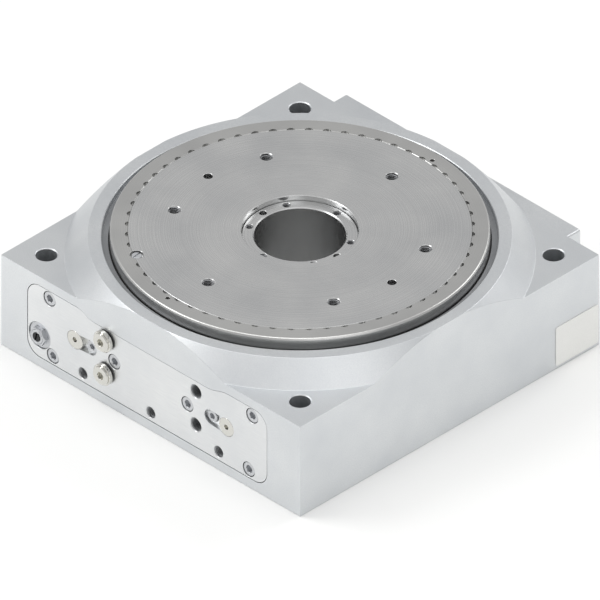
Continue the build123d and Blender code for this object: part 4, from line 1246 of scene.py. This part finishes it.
@dataclass
class HollowShaft:
    """Fixed hollow shaft whose flange lies inside the table's bore, in millimetres."""

    # Each pair of heights is that of a lower and an upper face.
    bore_r: float = 29.5
    low_chamfer: float = 0.5
    high_chamfer: float = 0.8
    tube_r: float = 34.95
    foot_r: float = 52.0
    foot_z: tuple[float, float] = (6.0, 11.0)
    flange_r: float = 37.2
    flange_z: tuple[float, float] = (74.0, 86.0)
    flange_chamfer: float = 0.4
    hole_circle_r: float = 33.5
    tapped: Hole = Hole(2.5, 10.0, 0.3)
    dowel: Hole = Hole(2.5, 8.0, 0.25)
    thread: Thread = Thread(2.1, 2.5, 0.8, 8.0)
    thread_inset: float = 0.3

    def mesh(self) -> bpy.types.Object:
        """Makes the tube with its foot and its flange, bored and drilled.

        Returns:
            The shaft.
        """
        (foot_low, foot_high), (low, top) = self.foot_z, self.flange_z
        shaft = as_object(turned([
            (self.bore_r, 0, self.low_chamfer), (self.tube_r, 0, 0), (self.tube_r, foot_low, 0),
            (self.foot_r, foot_low, 0), (self.foot_r, foot_high, 0), (self.tube_r, foot_high, 0),
            (self.tube_r, low, 0), (self.flange_r, low, 0),
            (self.flange_r, top, self.flange_chamfer), (self.bore_r, top, self.high_chamfer)]),
            "hollow_shaft_body")
        tapped = moved(self.tapped.tool(), *on_circle(self.hole_circle_r, *TAPPED_CIRCLE, top))
        dowels = moved(self.dowel.tool(), *on_circle(self.hole_circle_r, *DOWEL_CIRCLE, top))
        carve(shaft, joined(tapped, dowels))
        return shaft

    def threads(self) -> bpy.types.Object:
        """Thread ridges of the flange's six tapped holes.

        Returns:
            The mesh object of all six.
        """
        top = self.flange_z[1] - self.thread_inset
        places = on_circle(self.hole_circle_r, *TAPPED_CIRCLE, top)
        return as_object(moved(self.thread.ridge(), *places), "flange_threads")

    def dress(self) -> None:
        """Gives the shaft its finish."""
        Seat("base", "ground_steel", ("hollow_shaft",)).settle(self.mesh(), TURNED_STEEL)
        Seat("base", "ground_steel").settle(self.threads(), SHADED_THREAD_STEEL)


@dataclass
class ShockAbsorber:
    """Outer end of the shock absorber, its lock nut sunk in the panel, in millimetres."""

    # Each pair of chamfers is that of the inner end, then that of the outer end.
    thread_r: float = 5.0
    core_r: float = 4.62
    end_chamfers: tuple[float, float] = (0.6, 0.35)
    play: float = 0.05
    reach: float = 2.6
    inner_reach: float = 88.0
    seat_depth: float = 2.0
    washer_r: float = 9.4
    washer_t: float = 1.0
    washer_edge: float = 0.2
    nut_flats: float = 12.0
    nut_t: float = 3.3
    nut_chamfers: tuple[float, float] = (0.4, 0.8)
    nut_face_inset: float = 0.1
    nut_mouth: float = 0.25
    adjuster_r: float = 3.3
    adjuster_out: float = 3.2
    adjuster_length: float = 6.0
    adjuster_edge: float = 0.3
    floor_gap: float = 0.3
    slot_width: float = 1.2
    slot_depth: float = 1.5
    slot_deg: float = 78.0

    def place(self, out: float = 0.0) -> Matrix:
        """Where a shape made along +Z goes, so many millimetres out of the panel."""
        return to_front(ABSORBER_X, ABSORBER_Z, FRONT_Y - out)

    def nut(self) -> bpy.types.Object:
        """Makes the hexagonal lock nut with turned corners and a chamfered thread.

        Returns:
            The nut.
        """
        low, high = self.washer_t, self.washer_t + self.nut_t
        flat, corner = self.nut_flats / 2, corner_reach(self.nut_flats)
        seat = self.place(-self.seat_depth)
        nut = as_object(moved(prism(hexagon(self.nut_flats), low, high), seat),
                        "absorber_lock_nut")
        shell = lathe([(0, low), (flat, low), (corner, low + self.nut_chamfers[0]),
                       (corner, high - self.nut_chamfers[1]), (flat - self.nut_face_inset, high),
                       (0, high)], MID_ROUND)
        carve(nut, moved(shell, seat), operation="INTERSECT")
        bore = Hole(self.thread_r + self.play, self.nut_t + OVERCUT, self.nut_mouth)
        carve(nut, moved(bore.tool(), self.place(high - self.seat_depth)))
        return nut

    def washer(self) -> bpy.types.Object:
        """Makes the washer under the nut.

        Returns:
            The washer.
        """
        hole, thick = self.thread_r + self.play, self.washer_t
        ring = turned([(hole, 0, 0), (self.washer_r, 0, 0),
                       (self.washer_r, thick, self.washer_edge), (hole, thick, 0)], MID_ROUND)
        return as_object(moved(ring, self.place(-self.seat_depth)), "absorber_washer")

    def body(self) -> bpy.types.Object:
        """Makes the threaded tube, hollow at its outer end for the adjusting screw.

        Returns:
            The tube.
        """
        out, hole = self.reach, self.adjuster_r + self.play
        inner_end, outer_end = self.end_chamfers
        floor = self.adjuster_out - self.adjuster_length - self.floor_gap
        profile = [(0, -self.inner_reach), (self.core_r, -self.inner_reach),
                   (self.thread_r, inner_end - self.inner_reach), (self.thread_r, out - outer_end),
                   (self.core_r, out), (hole, out), (hole, floor), (0, floor)]
        return as_object(moved(lathe(profile, MID_ROUND), self.place()), "absorber_tube")

    def adjuster(self) -> bpy.types.Object:
        """Makes the slotted adjusting screw that stands a little out of the tube.

        Returns:
            The screw.
        """
        low, r, place = -self.adjuster_length, self.adjuster_r, self.place(self.adjuster_out)
        shape = turned([(0, low, 0), (r, low, 0), (r, 0, self.adjuster_edge), (0, 0, 0)],
                       SMALL_ROUND)
        screw = as_object(moved(shape, place), "absorber_adjusting_screw")
        turn = Matrix.Rotation(math.radians(self.slot_deg), 4, "Z")
        carve(screw, moved(screwdriver_slot(self.slot_width, self.slot_depth), place @ turn))
        return screw

    def dress(self) -> None:
        """Builds and finishes the pieces."""
        zinc = "zinc_plated_steel"
        Seat("base", zinc, ("shock_absorber_nut",)).settle(self.nut(), ZINC_PLATED)
        Seat("base", zinc, ("shock_absorber_washer",)).settle(self.washer(), ZINC_PLATED)
        Seat("base", zinc, ("shock_absorber_body",)).settle(self.body(), ZINC_PLATED)
        seat = Seat("absorber_adjuster", "blackened_steel", ("shock_absorber_adjuster",))
        seat.settle(self.adjuster(), BLACK_OXIDE)


@dataclass
class RearPlate:
    """Plate on the rear with its screws, in millimetres."""

    half_width: float = 106.0
    low: float = 9.0
    high: float = 69.0
    corner_r: float = 1.5
    edge: float = 0.8
    edge_faces: int = 3
    inner_y: float = 135.5
    outer_y: float = 147.5
    screw_x_z: Points = ((92.0, 58.0), (92.0, 20.0), (36.0, 20.0))
    screw_sink: Sink = M6_SINK
    screw: CapScrew = CapScrew(*M6_SCREW, 24.0)
    screw_inset: float = 0.5

    def places(self, inset: float = 0.0) -> list[Matrix]:
        """Where the screws go, so far below the plate's face."""
        return [to_rear(side * x, z, self.outer_y - inset)
                for x, z in self.screw_x_z for side in (1, -1)]

    def mesh(self) -> bpy.types.Object:
        """Makes the rounded slab with softened edges and counterbored holes.

        Returns:
            The plate.
        """
        w, r = self.half_width, self.corner_r
        points = rounded([(-w, self.low, r), (w, self.low, r), (w, self.high, r),
                          (-w, self.high, r)])
        slab = prism(points, 0, self.outer_y - self.inner_y)
        plate = as_object(moved(slab, to_front(0, 0, self.outer_y)), "rear_plate_body")
        soften(plate, self.edge, RIM_DEG, self.edge_faces)
        carve(plate, moved(self.screw_sink.tool(), *self.places()))
        return plate

    def screws(self) -> bpy.types.Object:
        """The six screws."""
        return as_object(moved(self.screw.mesh(), *self.places(self.screw_inset)),
                         "rear_plate_socket_screws")

    def dress(self) -> None:
        """Builds and finishes the plate and its screws."""
        Seat("base", "anodised_aluminium", ("rear_plate",)).settle(self.mesh(), CLEAR_ANODISED)
        Seat("base", "zinc_plated_steel", ("rear_plate_screws",)).settle(self.screws(), ZINC_PLATED)


@dataclass
class LabelPlate:
    """Thin bare plate on the right side, in millimetres."""

    corner_r: float = 1.5
    corner_steps: int = 6
    edge: float = 0.12

    def dress(self) -> None:
        """Builds the plate from its CAD box, with rounded corners."""
        low, high = (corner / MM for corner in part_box("label_plate"))
        r = self.corner_r
        points = rounded([(low.y, low.z, r), (high.y, low.z, r), (high.y, high.z, r),
                          (low.y, high.z, r)], self.corner_steps)
        # Takes the shape's X, Y and Z to Y, Z and X.
        turn = Matrix(((0, 0, 1, 0), (1, 0, 0, 0), (0, 1, 0, 0), (0, 0, 0, 1)))
        plate = as_object(moved(prism(points, low.x, high.x), turn), "bare_label_plate")
        soften(plate, self.edge, RIM_DEG)
        Seat("base", "foil_label", ("label_plate",)).settle(plate, FOIL)


def dress_cad_nodes(frame: dict) -> None:
    """Gives every CAD node the finish of its slot.
    """
    slots = {part["node"]: part["material_slot"] for part in frame["record"]["subparts"]}
    for name, obj in frame["nodes"].items():
        obj.data.materials.clear()
        obj.data.materials.append(NODE_FINISH.get(name, SLOT_FINISH[slots[name]]).material())


@dataclass(frozen=True)
class Lamp:
    """Square soft lamp: its place and size in metres and its power in watts."""

    name: str
    place: tuple[float, float, float]
    size: float
    power: float

    def hang(self, aim: Vector) -> None:
        """Hangs the lamp so that it points at the table.

        Args:
            aim: the point that it lights, in metres.
        """
        light = bpy.data.lights.new(self.name, "AREA")
        light.size = self.size
        light.energy = self.power
        obj = bpy.data.objects.new(self.name, light)
        obj.location = self.place
        obj.rotation_euler = (aim - Vector(self.place)).to_track_quat("-Z", "Y").to_euler()
        bpy.context.scene.collection.objects.link(obj)


@dataclass
class Studio:
    """Floor, light and camera."""

    pixels_per_mm: float = 1.566
    image_px: int = 600
    aim_z: float = 34.5
    azimuth_deg: float = 45.0
    elevation_deg: float = 35.264
    camera_distance: float = 2.0
    floor_half: float = 6.0
    floor_z: float = -0.2
    floor_colour: str = "#F4F4F3"
    floor_roughness: float = 0.9
    white: tuple[float, float, float, float] = (1.0, 1.0, 1.0, 1.0)
    surroundings_light: float = 0.62
    # The key stands at the left front, above the panel, and the others soften its shadows.
    lamps: tuple[Lamp, ...] = (
        Lamp("key", (-0.9, -0.7, 1.3), 0.9, 9.0),
        Lamp("fill", (1.4, -0.6, 0.9), 1.2, 4.0),
        Lamp("rim", (0.2, 1.3, 1.1), 0.8, 5.0),
        Lamp("top", (0.1, -0.1, 1.6), 1.0, 6.0),
    )

    def floor(self) -> None:
        """Plain pale floor that is white to the camera and keeps the object's shadow."""
        bm = bmesh.new()
        bmesh.ops.create_grid(bm, x_segments=1, y_segments=1, size=self.floor_half)
        bmesh.ops.translate(bm, verts=bm.verts, vec=(0, 0, self.floor_z * MM))
        obj = as_object(bm, "floor")
        made = bpy.data.materials.new("floor_paper")
        made.use_nodes = True
        shader = made.node_tree.nodes["Principled BSDF"]
        shader.inputs["Base Color"].default_value = linear(self.floor_colour)
        shader.inputs["Roughness"].default_value = self.floor_roughness
        obj.data.materials.append(made)

    def world(self) -> None:
        """White surroundings, dimmer to light than to look at."""
        world = bpy.data.worlds.new("studio")
        world.use_nodes = True
        bpy.context.scene.world = world
        tree = world.node_tree
        tree.nodes.clear()
        seen = add_node(tree, "LightPath").outputs["Is Camera Ray"]
        strength = add_node(tree, "MapRange", {"To Min": self.surroundings_light, "To Max": 1.0},
                            {"Value": seen})
        back = add_node(tree, "Background", {"Color": self.white},
                        {"Strength": strength.outputs[0]})
        add_node(tree, "OutputWorld", None, {"Surface": back.outputs[0]})

    def camera(self, aim: Vector) -> None:
        """Sets the camera along the isometric direction, without perspective, as the drawing is.

        Args:
            aim: the point in the middle of the picture, in metres.
        """
        data = bpy.data.cameras.new("camera")
        data.type = "ORTHO"
        data.ortho_scale = self.image_px / self.pixels_per_mm * MM
        obj = bpy.data.objects.new("camera", data)
        a, e = math.radians(self.azimuth_deg), math.radians(self.elevation_deg)
        back = Vector((math.sin(a) * math.cos(e), -math.cos(a) * math.cos(e), math.sin(e)))
        obj.location = aim + back * self.camera_distance
        obj.rotation_euler = (-back).to_track_quat("-Z", "Y").to_euler()
        bpy.context.scene.collection.objects.link(obj)
        bpy.context.scene.camera = obj

    def build(self) -> None:
        """Sets up everything around the object."""
        bpy.context.scene.view_settings.view_transform = "Standard"
        aim = Vector((0, 0, self.aim_z * MM))
        self.floor()
        self.world()
        for lamp in self.lamps:
            lamp.hang(aim)
        self.camera(aim)


def main() -> None:
    """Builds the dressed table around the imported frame."""
    logging.basicConfig(level=logging.INFO, format="%(name)s: %(message)s")
    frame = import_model()
    dress_cad_nodes(frame)
    for part in (Housing(), FrontPanel(), Table(), HollowShaft(), ShockAbsorber(), RearPlate(),
                 LabelPlate()):
        part.dress()
        log.info("%s done", type(part).__name__)
    Studio().build()


if __name__ == "__main__":
    main()
